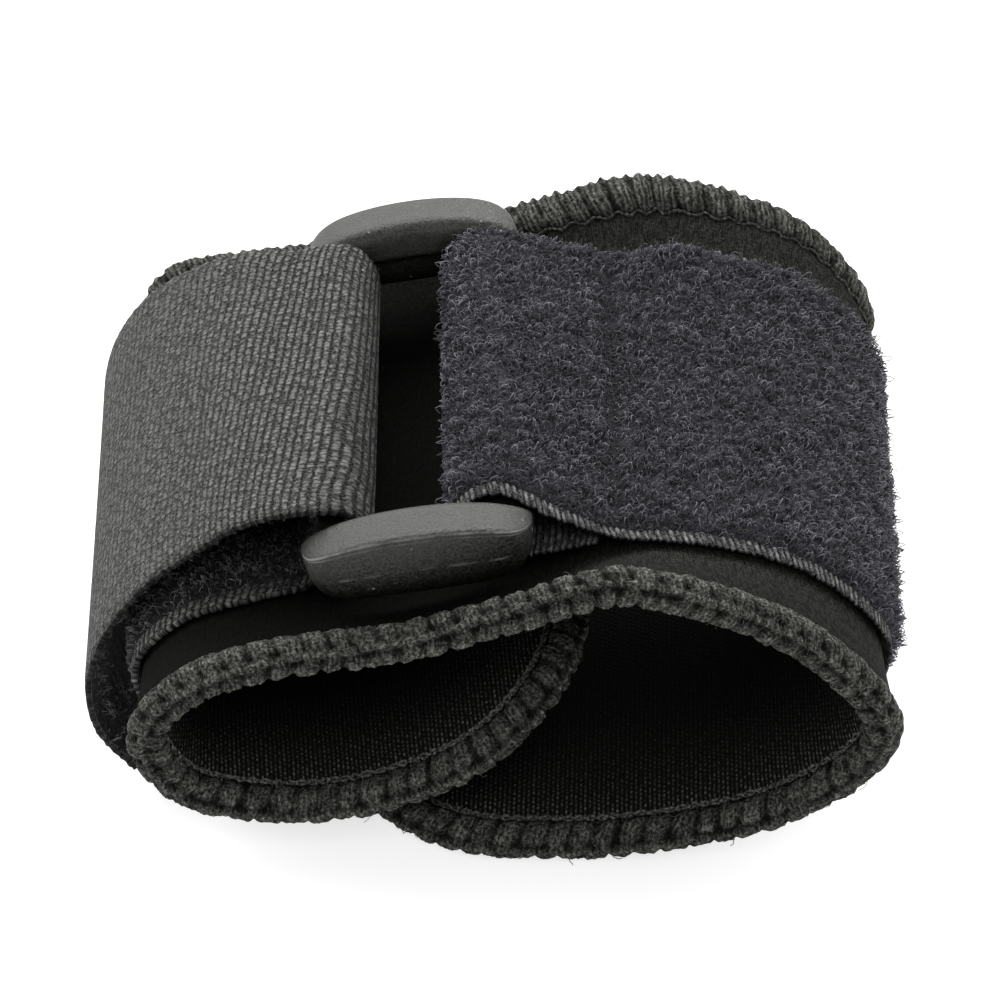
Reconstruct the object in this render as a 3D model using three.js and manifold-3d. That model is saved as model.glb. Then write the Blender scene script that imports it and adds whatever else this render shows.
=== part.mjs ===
// A wrist compression wrap that lies coiled on a table, in millimetres with +Z up.
// A strip of neoprene is coiled about the Y axis into two lobes. Two straps cross its top and
// meet at a moulded ring: one is sewn round a bar, the other is pulled through and folded back.
import * as THREE from 'three';
import Module from 'manifold-3d';

// Driving dimensions
const GAP = 0.3;
const BAND = {
  width: 72,
  wall: 3,
  cornerRadius: 20,
  flatHalf: 20,
  lengthSteps: 84,
  widthSteps: 10,
  crowding: 0.5,
};
const EDGING = { width: 3.6, thickness: 3.7, cornerSteps: 7, sideSteps: 62, endSteps: 2 };
const RING = {
  centre: [-11.55, 0, 33.2],
  tiltDegrees: 9,
  yawDegrees: 2.6,
  halfLength: 11.5,
  innerHalfWidth: 24,
  railWidth: 5.7,
  railTop: 3.5,
  railBottom: -4.5,
  railArch: 1.7,
  railSteps: 16,
  endTurnDegrees: 84,
  railBow: 0.12,
  planPower: 10,
  sidePower: 6,
  barReach: 8.5,
  barDrop: -0.85,
  barWidth: 3.8,
  barHeight: 3.9,
  barSides: 12,
  barRooting: 0.3,
};
// foldShare is where along its length a strap is drawn in by the ring. foldFront and foldRear are how
// far it is drawn in at each edge, over the share of its length that frontSpread and rearSpread give.
// rearLift is how far the rear edge stands up about liftShare, over the share that liftSpread gives.
const RING_STRAP = {
  width: 50,
  thickness: 1.8,
  foldShare: 0.74,
  foldFront: 2.3,
  foldRear: 2,
  frontSpread: 0.14,
  rearSpread: 0.11,
  rearLift: 2,
  liftShare: 0.47,
  liftSpread: 0.1,
  steps: 64,
  widthSteps: 4,
};
const PULL_STRAP = {
  width: 49,
  thickness: 1.6,
  foldShare: 0.36,
  foldFront: 1.6,
  foldRear: 2.1,
  frontSpread: 0.1,
  rearSpread: 0.15,
  rearLift: 0,
  liftShare: 0.5,
  liftSpread: 0.1,
  steps: 84,
  widthSteps: 4,
};

// The middle of the whole wrap's foot in the table's coordinates below, which becomes the origin.
const FOOT = { x: -4.12, z: -0.12 };

// The middle of the strip's wall at the front edge, from the outer end on the table to the inner end.
// waist is how far the straps press the wall inwards halfway across, and rearX and rearZ shift the
// place at the rear edge.
const COIL = [
  { place: 'outer end', x: -20, z: 2.1, waist: 0, rearX: 0, rearZ: 0 },
  { place: 'sole left', x: -10, z: 1.9, waist: -0.35, rearX: 0, rearZ: 0 },
  { place: 'sole', x: 0, z: 1.9, waist: -0.35, rearX: 0, rearZ: 0 },
  { place: 'sole right', x: 9, z: 2.2, waist: -0.3, rearX: 0, rearZ: 0 },
  { place: 'right bowl', x: 25, z: 6.2, waist: 0.3, rearX: 0.8, rearZ: 0 },
  { place: 'right turn', x: 34.2, z: 13, waist: 1.2, rearX: 0.6, rearZ: 0 },
  { place: 'right nose', x: 35.9, z: 18.2, waist: 1.6, rearX: 0.4, rearZ: 0.8 },
  { place: 'right slope', x: 28.3, z: 28.2, waist: 3, rearX: 1.5, rearZ: 1.2 },
  { place: 'right top', x: 17.5, z: 34.2, waist: 5.4, rearX: 1.8, rearZ: 0.2 },
  { place: 'hump', x: 8.6, z: 36.2, waist: 7.3, rearX: 2.4, rearZ: -0.6 },
  { place: 'hump left', x: -0.6, z: 32.7, waist: 6.4, rearX: 1.6, rearZ: -0.2 },
  { place: 'saddle', x: -12, z: 28.3, waist: 4.5, rearX: -1, rearZ: -0.4 },
  { place: 'left top', x: -25.7, z: 25.3, waist: 3.5, rearX: -3.6, rearZ: 0 },
  { place: 'left shoulder', x: -33.4, z: 21.2, waist: 2.5, rearX: -6.2, rearZ: 1.4 },
  { place: 'left nose', x: -37.3, z: 15, waist: 1.4, rearX: -5, rearZ: 1 },
  { place: 'lobe corner', x: -33.8, z: 8.5, waist: 0.4, rearX: -4.4, rearZ: 0 },
  { place: 'lobe floor', x: -25.5, z: 6.2, waist: 0, rearX: -3.6, rearZ: 0 },
  { place: 'lobe rise', x: -16.5, z: 7, waist: 0, rearX: -3.6, rearZ: 0 },
  { place: 'flap', x: -5, z: 12, waist: 0, rearX: -4.4, rearZ: -0.6 },
  { place: 'inner end', x: 8, z: 19.8, waist: 0, rearX: -6, rearZ: -2 },
];

// Where the straps lie on the band, as shares of the strip's length from its outer end. seamLayer is
// how high the ring strap lies at its seam, in strap thicknesses.
const RING_STRAP_BED = {
  start: 0.28,
  leave: 0.44,
  seam: 0.472,
  seamLayer: 0.4,
  tail: 0.508,
  tailEnd: 0.493,
};
const PULL_STRAP_BED = { start: 0.755, leave: 0.638 };
const BED_STOPS = 12;
// How far the ring strap lies towards the rear at the start of its bed and where it leaves it.
const RING_STRAP_DRIFT = { start: 2.2, leave: 0.9 };

// The straps' folds, as offsets of the strap's middle from the middle of the ring's bar, at the
// strap's front and rear edges.
const RING_FOLD = [
  { place: 'climb', frontX: 5, rearX: 5, z: 1.6 },
  { place: 'over the bar', frontX: -1.2, rearX: -0.9, z: 3.6 },
  { place: 'round the bar', frontX: -4.9, rearX: -4.3, z: 0.7 },
  { place: 'turn under', frontX: -3.2, rearX: -2.8, z: -2.8 },
  { place: 'under the bar', frontX: 1, rearX: 1, z: -3.7 },
];
const PULL_FOLD = [
  { place: 'under the bar', frontX: -0.8, rearX: -0.8, z: -3.4 },
  { place: 'turn up', frontX: 2.3, rearX: 2.9, z: -2.5 },
  { place: 'round the bar', frontX: 3.1, rearX: 4.1, z: 0.65 },
  { place: 'over the bar', frontX: 1, rearX: 1.6, z: 3.4 },
];

// The middle of the pull strap's upper run, at its front and rear edges. frontY and rearY are how
// far those edges lie towards the rear of a straight run.
const PULL_ROOF = [
  { place: 'crest', frontX: -22.6, frontY: 0, frontZ: 34.7, rearX: -25, rearY: 0, rearZ: 33.2 },
  { place: 'roof', frontX: -27.2, frontY: 1, frontZ: 32.8, rearX: -31, rearY: 0.2, rearZ: 32.2 },
  { place: 'brow', frontX: -31.8, frontY: 2, frontZ: 29, rearX: -36, rearY: 0.4, rearZ: 30 },
  { place: 'side', frontX: -37.6, frontY: 2.7, frontZ: 23.5, rearX: -41.2, rearY: 0.5, rearZ: 26 },
  { place: 'flank', frontX: -41.8, frontY: 2.5, frontZ: 17.4, rearX: -45, rearY: 0.6, rearZ: 19.6 },
  { place: 'nose', frontX: -43.7, frontY: 1.4, frontZ: 11.8, rearX: -46, rearY: 0.6, rearZ: 13 },
  { place: 'heel', frontX: -42.8, frontY: 0.3, frontZ: 6.9, rearX: -45.2, rearY: 0.5, rearZ: 8 },
  { place: 'free end', frontX: -39.3, frontY: -0.3, frontZ: 2.7, rearX: -42, rearY: 0.4, rearZ: 4 },
];

// Surfaces of the coiled strip

const HALF_WIDTH = BAND.width / 2;
const lerp = THREE.MathUtils.lerp;

// How much of the edges' flare a place across the strip has: none in the middle, all at the edges.
function flareAt(across) {
  const beyond = Math.max(Math.abs(across) - BAND.flatHalf, 0) / (HALF_WIDTH - BAND.flatHalf);
  return Math.min(beyond, 1) ** 2;
}

// The curve along the strip at one place across it, before the straps press it in.
const coilCurves = new Map();
function coilCurve(across) {
  const key = across.toFixed(3);
  if (!coilCurves.has(key)) {
    const towardsRear = (across + HALF_WIDTH) / BAND.width;
    const points = COIL.map(
      (row) => new THREE.Vector3(row.x + row.rearX * towardsRear, across, row.z + row.rearZ * towardsRear),
    );
    coilCurves.set(key, new THREE.CatmullRomCurve3(points, false, 'centripetal'));
  }
  return coilCurves.get(key);
}

// The table's waist as a curve along the same rows.
const waistCurve = new THREE.CatmullRomCurve3(
  COIL.map((row) => new THREE.Vector3(row.waist, 0, 0)),
  false,
  'catmullrom',
);

// The middle of the wall at a share of the strip's length and a place across it.
function wallMiddle(share, across) {
  const curve = coilCurve(across);
  const t = curve.getUtoTmapping(THREE.MathUtils.clamp(share, 0, 1));
  const point = curve.getPoint(t);
  const along = curve.getTangent(t);
  const pressed = waistCurve.getPoint(t).x * (1 - flareAt(across));
  point.x -= along.z * pressed;
  point.z += along.x * pressed;
  return point;
}

// The middle of the wall with its outward direction, from neighbours along and across the strip.
const SHARE_STEP = 0.002;
const ACROSS_STEP = 0.5;
function wallFrame(share, across) {
  const before = wallMiddle(Math.max(share - SHARE_STEP, 0), across);
  const after = wallMiddle(Math.min(share + SHARE_STEP, 1), across);
  const front = wallMiddle(share, Math.max(across - ACROSS_STEP, -HALF_WIDTH));
  const rear = wallMiddle(share, Math.min(across + ACROSS_STEP, HALF_WIDTH));
  const outward = rear.sub(front).cross(after.sub(before)).normalize();
  return { point: wallMiddle(share, across), outward };
}

const STRIP_LENGTH = coilCurve(0).getLength();

// Half the strip's width at a distance from its ends, where the corners are rounded.
function halfWidthAt(distance, inset) {
  const radius = BAND.cornerRadius - inset;
  const fromEnd = Math.min(distance, STRIP_LENGTH - distance) - inset;
  const half = HALF_WIDTH - inset;
  if (fromEnd >= radius) {
    return half;
  }
  return half - radius + Math.sqrt(Math.max(radius ** 2 - (radius - fromEnd) ** 2, 0));
}

// Solids from grids and sections

// A mesh geometry from points and triangles, turned so that its faces point outwards.
function closedGeometry(points, triangles) {
  let volume = 0;
  for (const [a, b, c] of triangles) {
    volume += points[a].dot(new THREE.Vector3().crossVectors(points[b], points[c]));
  }
  const index = triangles.flatMap(([a, b, c]) => (volume > 0 ? [a, b, c] : [a, c, b]));
  const geometry = new THREE.BufferGeometry().setFromPoints(points);
  geometry.setIndex(index);
  geometry.computeVertexNormals();
  return geometry;
}

// A solid whose sections are closed loops of equal length, with a flat cap on each end.
function loftedSolid(sections) {
  const sides = sections[0].length;
  const points = sections.flat();
  const triangles = [];
  for (let i = 0; i + 1 < sections.length; i += 1) {
    for (let j = 0; j < sides; j += 1) {
      const a = i * sides + j;
      const b = i * sides + ((j + 1) % sides);
      triangles.push([a, b, b + sides], [a, b + sides, a + sides]);
    }
  }
  const last = (sections.length - 1) * sides;
  for (let j = 1; j + 1 < sides; j += 1) {
    triangles.push([0, j + 1, j], [last, last + j, last + j + 1]);
  }
  return closedGeometry(points, triangles);
}

// A wall between two faces, given as rows of points across it. Each row becomes one section.
function wallSolid(outerRows, innerRows) {
  const rows = outerRows.length;
  const columns = outerRows[0].length;
  const points = [...outerRows.flat(), ...innerRows.flat()];
  const outer = (i, j) => i * columns + j;
  const inner = (i, j) => rows * columns + i * columns + j;
  const triangles = [];
  const quad = (a, b, c, d) => triangles.push([a, b, c], [a, c, d]);
  for (let i = 0; i + 1 < rows; i += 1) {
    for (let j = 0; j + 1 < columns; j += 1) {
      quad(outer(i, j), outer(i, j + 1), outer(i + 1, j + 1), outer(i + 1, j));
      quad(inner(i, j), inner(i + 1, j), inner(i + 1, j + 1), inner(i, j + 1));
    }
    quad(outer(i, 0), outer(i + 1, 0), inner(i + 1, 0), inner(i, 0));
    const edge = columns - 1;
    quad(outer(i, edge), inner(i, edge), inner(i + 1, edge), outer(i + 1, edge));
  }
  const end = rows - 1;
  for (let j = 0; j + 1 < columns; j += 1) {
    quad(outer(0, j), inner(0, j), inner(0, j + 1), outer(0, j + 1));
    quad(outer(end, j), outer(end, j + 1), inner(end, j + 1), inner(end, j));
  }
  return closedGeometry(points, triangles);
}

// The neoprene band

function bandGeometry() {
  const inset = EDGING.width + GAP;
  const outerRows = [];
  const innerRows = [];
  for (let i = 0; i <= BAND.lengthSteps; i += 1) {
    // Rows crowd towards the ends, where the corners are rounded.
    const even = i / BAND.lengthSteps;
    const crowded = (1 - Math.cos(Math.PI * even)) / 2;
    const distance = lerp(inset, STRIP_LENGTH - inset, lerp(even, crowded, BAND.crowding));
    const half = halfWidthAt(distance, inset);
    const frames = [];
    for (let j = 0; j <= BAND.widthSteps; j += 1) {
      frames.push(wallFrame(distance / STRIP_LENGTH, lerp(-half, half, j / BAND.widthSteps)));
    }
    outerRows.push(frames.map((f) => f.point.clone().addScaledVector(f.outward, BAND.wall / 2)));
    innerRows.push(frames.map((f) => f.point.clone().addScaledVector(f.outward, -BAND.wall / 2)));
  }
  return wallSolid(outerRows, innerRows);
}

// The overlocked edging

// The strip's outline on one side, from the middle of the outer end to the middle of the inner end.
function edgingOutline(side) {
  const radius = BAND.cornerRadius;
  const straightHalf = HALF_WIDTH - radius;
  const outline = [];
  const add = (distance, across, alongOut, acrossOut) =>
    outline.push({ distance, across: side * across, alongOut, acrossOut: side * acrossOut });
  for (let i = 0; i < EDGING.endSteps; i += 1) {
    add(0, lerp(GAP / 2, straightHalf, i / EDGING.endSteps), -1, 0);
  }
  for (let i = 0; i <= EDGING.cornerSteps; i += 1) {
    const turn = (Math.PI / 2) * (i / EDGING.cornerSteps);
    const distance = radius * (1 - Math.cos(turn));
    add(distance, straightHalf + radius * Math.sin(turn), -Math.cos(turn), Math.sin(turn));
  }
  for (let i = 1; i < EDGING.sideSteps; i += 1) {
    add(lerp(radius, STRIP_LENGTH - radius, i / EDGING.sideSteps), HALF_WIDTH, 0, 1);
  }
  for (let i = 0; i <= EDGING.cornerSteps; i += 1) {
    const turn = (Math.PI / 2) * (i / EDGING.cornerSteps);
    const distance = STRIP_LENGTH - radius * (1 - Math.sin(turn));
    add(distance, straightHalf + radius * Math.cos(turn), Math.sin(turn), Math.cos(turn));
  }
  for (let i = 1; i <= EDGING.endSteps; i += 1) {
    add(STRIP_LENGTH, lerp(straightHalf, GAP / 2, i / EDGING.endSteps), 1, 0);
  }
  return outline;
}

// The edging's section, flat against the band and round at its nose, as shares of its width inwards
// from the outline and of half its thickness.
const EDGING_SECTION = [
  { inward: 1, rise: -0.94 },
  { inward: 0.5, rise: -1 },
  { inward: 0.15, rise: -0.72 },
  { inward: 0, rise: 0 },
  { inward: 0.15, rise: 0.72 },
  { inward: 0.5, rise: 1 },
  { inward: 1, rise: 0.94 },
];

function edgingGeometry(side) {
  const sections = edgingOutline(side).map((stop) =>
    EDGING_SECTION.map(({ inward, rise }) => {
      const reach = inward * EDGING.width;
      const share = (stop.distance - stop.alongOut * reach) / STRIP_LENGTH;
      const frame = wallFrame(share, stop.across - stop.acrossOut * reach);
      return frame.point.addScaledVector(frame.outward, (rise * EDGING.thickness) / 2);
    }),
  );
  return loftedSolid(sections);
}

// The ring buckle

const ringTurn = new THREE.Euler(
  0,
  THREE.MathUtils.degToRad(-RING.tiltDegrees),
  THREE.MathUtils.degToRad(RING.yawDegrees),
  'ZYX',
);

// The middle of a bar of the placed ring at a place across it: side is -1 for left and 1 for right.
function barMiddle(side, across) {
  return new THREE.Vector3(side * RING.barReach, across, RING.barDrop)
    .applyEuler(ringTurn)
    .add(new THREE.Vector3(...RING.centre));
}

// A rail's section as shares of its width, from the inner face out, and of its height. The lower
// half of the inner face is set back under a ledge.
const RAIL_SECTION = [
  { out: 0, up: 0.54 },
  { out: 0.16, up: 0.47 },
  { out: 0.18, up: 0.14 },
  { out: 0.32, up: 0 },
  { out: 0.66, up: 0 },
  { out: 0.88, up: 0.1 },
  { out: 0.98, up: 0.32 },
  { out: 1, up: 0.6 },
  { out: 0.97, up: 0.9 },
  { out: 0.9, up: 1 },
  { out: 0.14, up: 1 },
  { out: 0, up: 0.88 },
];

// One rail: its plan bulges outwards, its top is arched, and both close at rounded ends.
function railGeometry(side) {
  const lastTurn = THREE.MathUtils.degToRad(RING.endTurnDegrees);
  const sections = [];
  for (let i = 0; i <= RING.railSteps; i += 1) {
    const share = Math.sin(lerp(-lastTurn, lastTurn, i / RING.railSteps));
    const bulge = (1 - RING.railBow * share ** 2) * Math.sqrt(1 - share ** RING.planPower);
    const close = Math.sqrt(1 - share ** RING.sidePower);
    const width = RING.railWidth * bulge;
    const bottom = RING.railBottom * close;
    const top = (RING.railTop - RING.railArch * share ** 2) * close;
    sections.push(
      RAIL_SECTION.map(
        ({ out, up }) =>
          new THREE.Vector3(
            share * RING.halfLength,
            side * (RING.innerHalfWidth + out * width),
            lerp(bottom, top, up),
          ),
      ),
    );
  }
  return loftedSolid(sections);
}

// One bar: a rounded section carried from rail to rail, its ends inside the rails.
function barGeometry(side) {
  const sides = RING.barSides;
  const reach = RING.innerHalfWidth + RING.railWidth * RING.barRooting;
  // The square root fills a circle out towards a square with round corners.
  const filled = (value) => Math.sign(value) * Math.sqrt(Math.abs(value));
  const sections = [-reach, reach].map((across) => {
    const section = [];
    for (let j = 0; j < sides; j += 1) {
      const turn = (2 * Math.PI * (j + 0.5)) / sides;
      const x = side * RING.barReach + (filled(Math.cos(turn)) * RING.barWidth) / 2;
      const z = RING.barDrop + (filled(Math.sin(turn)) * RING.barHeight) / 2;
      section.push(new THREE.Vector3(x, across, z));
    }
    return section;
  });
  return loftedSolid(sections);
}

async function ringGeometry() {
  const wasm = await Module();
  wasm.setup();
  const solidOf = (geometry) =>
    new wasm.Manifold(
      new wasm.Mesh({
        numProp: 3,
        vertProperties: new Float32Array(geometry.attributes.position.array),
        triVerts: new Uint32Array(geometry.index.array),
      }),
    );
  const pieces = [railGeometry(-1), railGeometry(1), barGeometry(-1), barGeometry(1)];
  const mesh = pieces.map(solidOf).reduce((whole, piece) => whole.add(piece)).getMesh();
  const geometry = new THREE.BufferGeometry();
  geometry.setAttribute('position', new THREE.BufferAttribute(mesh.vertProperties, 3));
  geometry.setIndex(new THREE.BufferAttribute(mesh.triVerts, 1));
  geometry.computeVertexNormals();
  return geometry;
}

// The straps

// A strap from the middle line of each place across it: an even wall of the strap's thickness.
// pathAt gives the points of that line.
function strapGeometry(strap, pathAt) {
  const upperColumns = [];
  const lowerColumns = [];
  for (let j = 0; j <= strap.widthSteps; j += 1) {
    const side = lerp(-1, 1, j / strap.widthSteps);
    const across = (side * strap.width) / 2;
    const curve = new THREE.CatmullRomCurve3(pathAt(across), false, 'centripetal');
    curve.arcLengthDivisions = strap.steps * 8;
    const foldPinch = side < 0 ? strap.foldFront : strap.foldRear;
    const foldSpread = side < 0 ? strap.frontSpread : strap.rearSpread;
    const upper = [];
    const lower = [];
    for (let i = 0; i <= strap.steps; i += 1) {
      const share = i / strap.steps;
      const point = curve.getPointAt(share);
      const along = curve.getTangentAt(share);
      const up = new THREE.Vector3(-along.z, 0, along.x).normalize();
      const nearFold = Math.exp(-(((share - strap.foldShare) / foldSpread) ** 2));
      const nearLift = Math.exp(-(((share - strap.liftShare) / strap.liftSpread) ** 2));
      point.y -= side * foldPinch * nearFold;
      point.z += Math.max(side, 0) ** 2 * strap.rearLift * nearLift;
      upper.push(point.clone().addScaledVector(up, strap.thickness / 2));
      lower.push(point.clone().addScaledVector(up, -strap.thickness / 2));
    }
    upperColumns.push(upper);
    lowerColumns.push(lower);
  }
  const rowsOf = (columns) => columns[0].map((_, i) => columns.map((column) => column[i]));
  return wallSolid(rowsOf(upperColumns), rowsOf(lowerColumns));
}

// A point on the band's outside, raised by a number of strap thicknesses.
function onBand(share, across, strap, layer) {
  const frame = wallFrame(share, across);
  const rise = BAND.wall / 2 + GAP + strap.thickness / 2 + layer * (strap.thickness + GAP);
  return frame.point.addScaledVector(frame.outward, rise);
}

// Points of a strap that lies on the band, from one share of its length and place across it to another.
function bedPoints(from, to, acrossFrom, acrossTo, strap) {
  const points = [];
  for (let i = 0; i <= BED_STOPS; i += 1) {
    const way = i / BED_STOPS;
    points.push(onBand(lerp(from, to, way), lerp(acrossFrom, acrossTo, way), strap, 0));
  }
  return points;
}

// The points of a strap's fold round a bar of the ring.
function foldPoints(fold, side, across, strap) {
  const middle = barMiddle(side, across);
  const towardsRear = across / strap.width + 0.5;
  return fold.map(
    ({ frontX, rearX, z }) =>
      new THREE.Vector3(middle.x + lerp(frontX, rearX, towardsRear), across, middle.z + z),
  );
}

function ringStrapPath(across) {
  const bed = RING_STRAP_BED;
  const drift = RING_STRAP_DRIFT;
  return [
    ...bedPoints(bed.start, bed.leave, across + drift.start, across + drift.leave, RING_STRAP),
    onBand(bed.seam, across, RING_STRAP, bed.seamLayer),
    ...foldPoints(RING_FOLD, 1, across, RING_STRAP),
    onBand(bed.tail, across, RING_STRAP, 0),
    onBand(bed.tailEnd, across, RING_STRAP, 0),
  ];
}

function pullStrapPath(across) {
  const bed = PULL_STRAP_BED;
  const towardsRear = (across + PULL_STRAP.width / 2) / PULL_STRAP.width;
  const roof = PULL_ROOF.map(
    (row) =>
      new THREE.Vector3(
        lerp(row.frontX, row.rearX, towardsRear),
        across + lerp(row.frontY, row.rearY, towardsRear),
        lerp(row.frontZ, row.rearZ, towardsRear),
      ),
  );
  return [
    ...bedPoints(bed.start, bed.leave, across, across, PULL_STRAP),
    ...foldPoints(PULL_FOLD, -1, across, PULL_STRAP),
    ...roof,
  ];
}

// The whole wrap

const FINISHES = {
  neoprene: { color: 0x2e2f2c, roughness: 0.85, metalness: 0 },
  overlock: { color: 0x3c3d38, roughness: 0.9, metalness: 0 },
  plastic: { color: 0x4a4b47, roughness: 0.45, metalness: 0 },
  pile: { color: 0x3b3a3f, roughness: 0.95, metalness: 0 },
  webbing: { color: 0x62635f, roughness: 0.85, metalness: 0 },
};

const wrap = new THREE.Group();
wrap.position.set(-FOOT.x, 0, -FOOT.z);

function addPiece(name, geometry, finish) {
  const piece = new THREE.Mesh(geometry, new THREE.MeshStandardMaterial(FINISHES[finish]));
  piece.name = name;
  wrap.add(piece);
  return piece;
}

addPiece('neoprene_band', bandGeometry(), 'neoprene');
addPiece('front_edging', edgingGeometry(-1), 'overlock');
addPiece('rear_edging', edgingGeometry(1), 'overlock');

const ring = addPiece('ring_buckle', await ringGeometry(), 'plastic');
ring.position.set(...RING.centre);
ring.rotation.copy(ringTurn);

addPiece('ring_strap', strapGeometry(RING_STRAP, ringStrapPath), 'pile');
addPiece('pull_strap', strapGeometry(PULL_STRAP, pullStrapPath), 'webbing');

export default wrap;
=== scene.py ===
"""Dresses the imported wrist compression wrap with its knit, yarn, pile, weave and moulded ring.

All sizes are in millimetres in the tables and become metres when a mesh is made. The coiled strip
and the two straps are worked out as sheets: a point of a sheet is a share of its length, a side
from -1 at the front edge to 1 at the rear edge, and a rise above its middle.
"""
from __future__ import annotations

import logging
import math
from dataclasses import dataclass, field
from enum import Enum
from typing import Any

import bpy
import numpy as np
from mathutils import Matrix, Vector

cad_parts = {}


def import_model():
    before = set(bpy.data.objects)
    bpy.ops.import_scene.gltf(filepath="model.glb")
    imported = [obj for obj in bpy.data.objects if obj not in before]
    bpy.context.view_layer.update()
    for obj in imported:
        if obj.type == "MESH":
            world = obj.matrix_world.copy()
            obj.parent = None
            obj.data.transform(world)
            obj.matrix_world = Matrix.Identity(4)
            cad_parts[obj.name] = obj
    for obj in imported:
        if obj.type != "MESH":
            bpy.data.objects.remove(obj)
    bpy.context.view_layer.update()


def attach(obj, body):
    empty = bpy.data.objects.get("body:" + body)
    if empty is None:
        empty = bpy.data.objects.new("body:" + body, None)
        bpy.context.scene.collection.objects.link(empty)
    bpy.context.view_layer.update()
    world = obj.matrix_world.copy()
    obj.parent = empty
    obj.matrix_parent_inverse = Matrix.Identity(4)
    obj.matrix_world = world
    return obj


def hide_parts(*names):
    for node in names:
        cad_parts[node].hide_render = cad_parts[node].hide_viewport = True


Array = np.ndarray
Colour = tuple[float, float, float]
LOG = logging.getLogger("wrist_wrap")
MM = 0.001
BODY = "root"
# The frame's origin, as a place in the tables.
FOOT = np.array([-4.12, 0.0, -0.12])
# The gap between pieces that lie on each other.
GAP = 0.3


class Side(Enum):
    """The two edges of the strip."""

    FRONT = -1
    REAR = 1


class Face(Enum):
    """The two faces of a sheet, as the sign of its rise."""

    OVER = 1
    UNDER = -1


# Curves and sheets


def spline(rows: Array, per_span: int, even: bool = False) -> Array:
    """Carries a Catmull-Rom curve through rows of points, one curve for each column.

    The spacing of the knots is the square root of the distance between rows, or even. Each span is
    a cubic whose end slopes come from the neighbouring rows.

    Args:
        rows: Points as (rows, columns, values).
        per_span: Steps in each span between two rows.
        even: Whether the knots are evenly spaced.

    Returns:
        The curve's points as (steps, columns, values).
    """
    ends = np.concatenate([2 * rows[:1] - rows[1:2], rows, 2 * rows[-1:] - rows[-2:-1]])
    gap = np.sqrt(np.linalg.norm(np.diff(ends, axis=0), axis=-1, keepdims=True))
    gap = np.ones_like(gap) if even else np.maximum(gap, 1e-4)
    a, b, c = gap[:-2], gap[1:-1], gap[2:]
    p0, p1, p2, p3 = ends[:-3], ends[1:-2], ends[2:-1], ends[3:]
    leave = b * ((p1 - p0) / a - (p2 - p0) / (a + b) + (p2 - p1) / b)
    arrive = b * ((p2 - p1) / b - (p3 - p1) / (b + c) + (p3 - p2) / c)
    t = (np.arange(per_span) / per_span)[None, :, None, None]
    p1, p2, leave, arrive = (v[:, None] for v in (p1, p2, leave, arrive))
    square = -3 * p1 + 3 * p2 - 2 * leave - arrive
    cube = 2 * p1 - 2 * p2 + leave + arrive
    spans = p1 + t * (leave + t * (square + t * cube))
    return np.concatenate([spans.reshape(-1, *rows.shape[1:]), rows[-1:]])


def unit(vectors: Array) -> Array:
    """Returns the vectors at length one."""
    return vectors / np.maximum(np.linalg.norm(vectors, axis=-1, keepdims=True), 1e-9)


def smoothstep(low: float, high: float, value: Array) -> Array:
    """Returns 0 below low and 1 above high, with a smooth climb between."""
    t = np.clip((value - low) / (high - low), 0.0, 1.0)
    return t * t * (3 - 2 * t)


def hill(value: Array, middle: float, spread: Array | float) -> Array:
    """Returns a bell curve of height one."""
    return np.exp(-(((value - middle) / spread) ** 2))


def on_table(points: Array, give: float = 0.4) -> Array:
    """Presses points near the table flat: a height below the give shrinks towards zero.

    Args:
        points: Points as (..., 3).
        give: Height below which a point is pressed.

    Returns:
        The pressed points.
    """
    pressed = points.copy()
    low = np.minimum(points[..., 2], give)
    pressed[..., 2] = np.maximum(points[..., 2], give * np.exp((low - give) / give))
    return pressed


def hollow(count: Array, spread: float) -> Array:
    """Returns a bell curve of height one about each whole number."""
    return hill(count - np.round(count), 0.0, spread)


@dataclass(frozen=True)
class Ridge:
    """A ridge with a bell-shaped section."""

    height: float
    middle: float
    spread: float

    def over(self, place: Array) -> Array:
        """Returns the ridge's height at places across it."""
        return self.height * hill(place, self.middle, self.spread)


class Mottle:
    """A smooth random relief from -1 to 1 over a map in millimetres."""

    def __init__(
        self,
        rng: np.random.Generator,
        extent: tuple[float, float],
        cell: tuple[float, float],
    ) -> None:
        """Draws random heights on a lattice.

        Args:
            rng: Source of the random draws.
            extent: Size of the map.
            cell: Size of the lattice's cells.
        """
        self.cell = cell
        self.heights = rng.uniform(-1, 1, tuple(int(e / c) + 2 for e, c in zip(extent, cell)))

    def at(self, x: Array, y: Array) -> Array:
        """Blends the heights at the four corners of each place's cell.

        Args:
            x: Places along the map.
            y: Places across it.

        Returns:
            Heights of the broadcast shape.
        """
        u, v = np.broadcast_arrays(np.asarray(x) / self.cell[0], np.asarray(y) / self.cell[1])
        i = np.clip(u.astype(int), 0, self.heights.shape[0] - 2)
        j = np.clip(v.astype(int), 0, self.heights.shape[1] - 2)
        f, g = smoothstep(0, 1, u - i), smoothstep(0, 1, v - j)
        near = self.heights[i, j] * (1 - g) + self.heights[i, j + 1] * g
        far = self.heights[i + 1, j] * (1 - g) + self.heights[i + 1, j + 1] * g
        return near * (1 - f) + far * f


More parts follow.
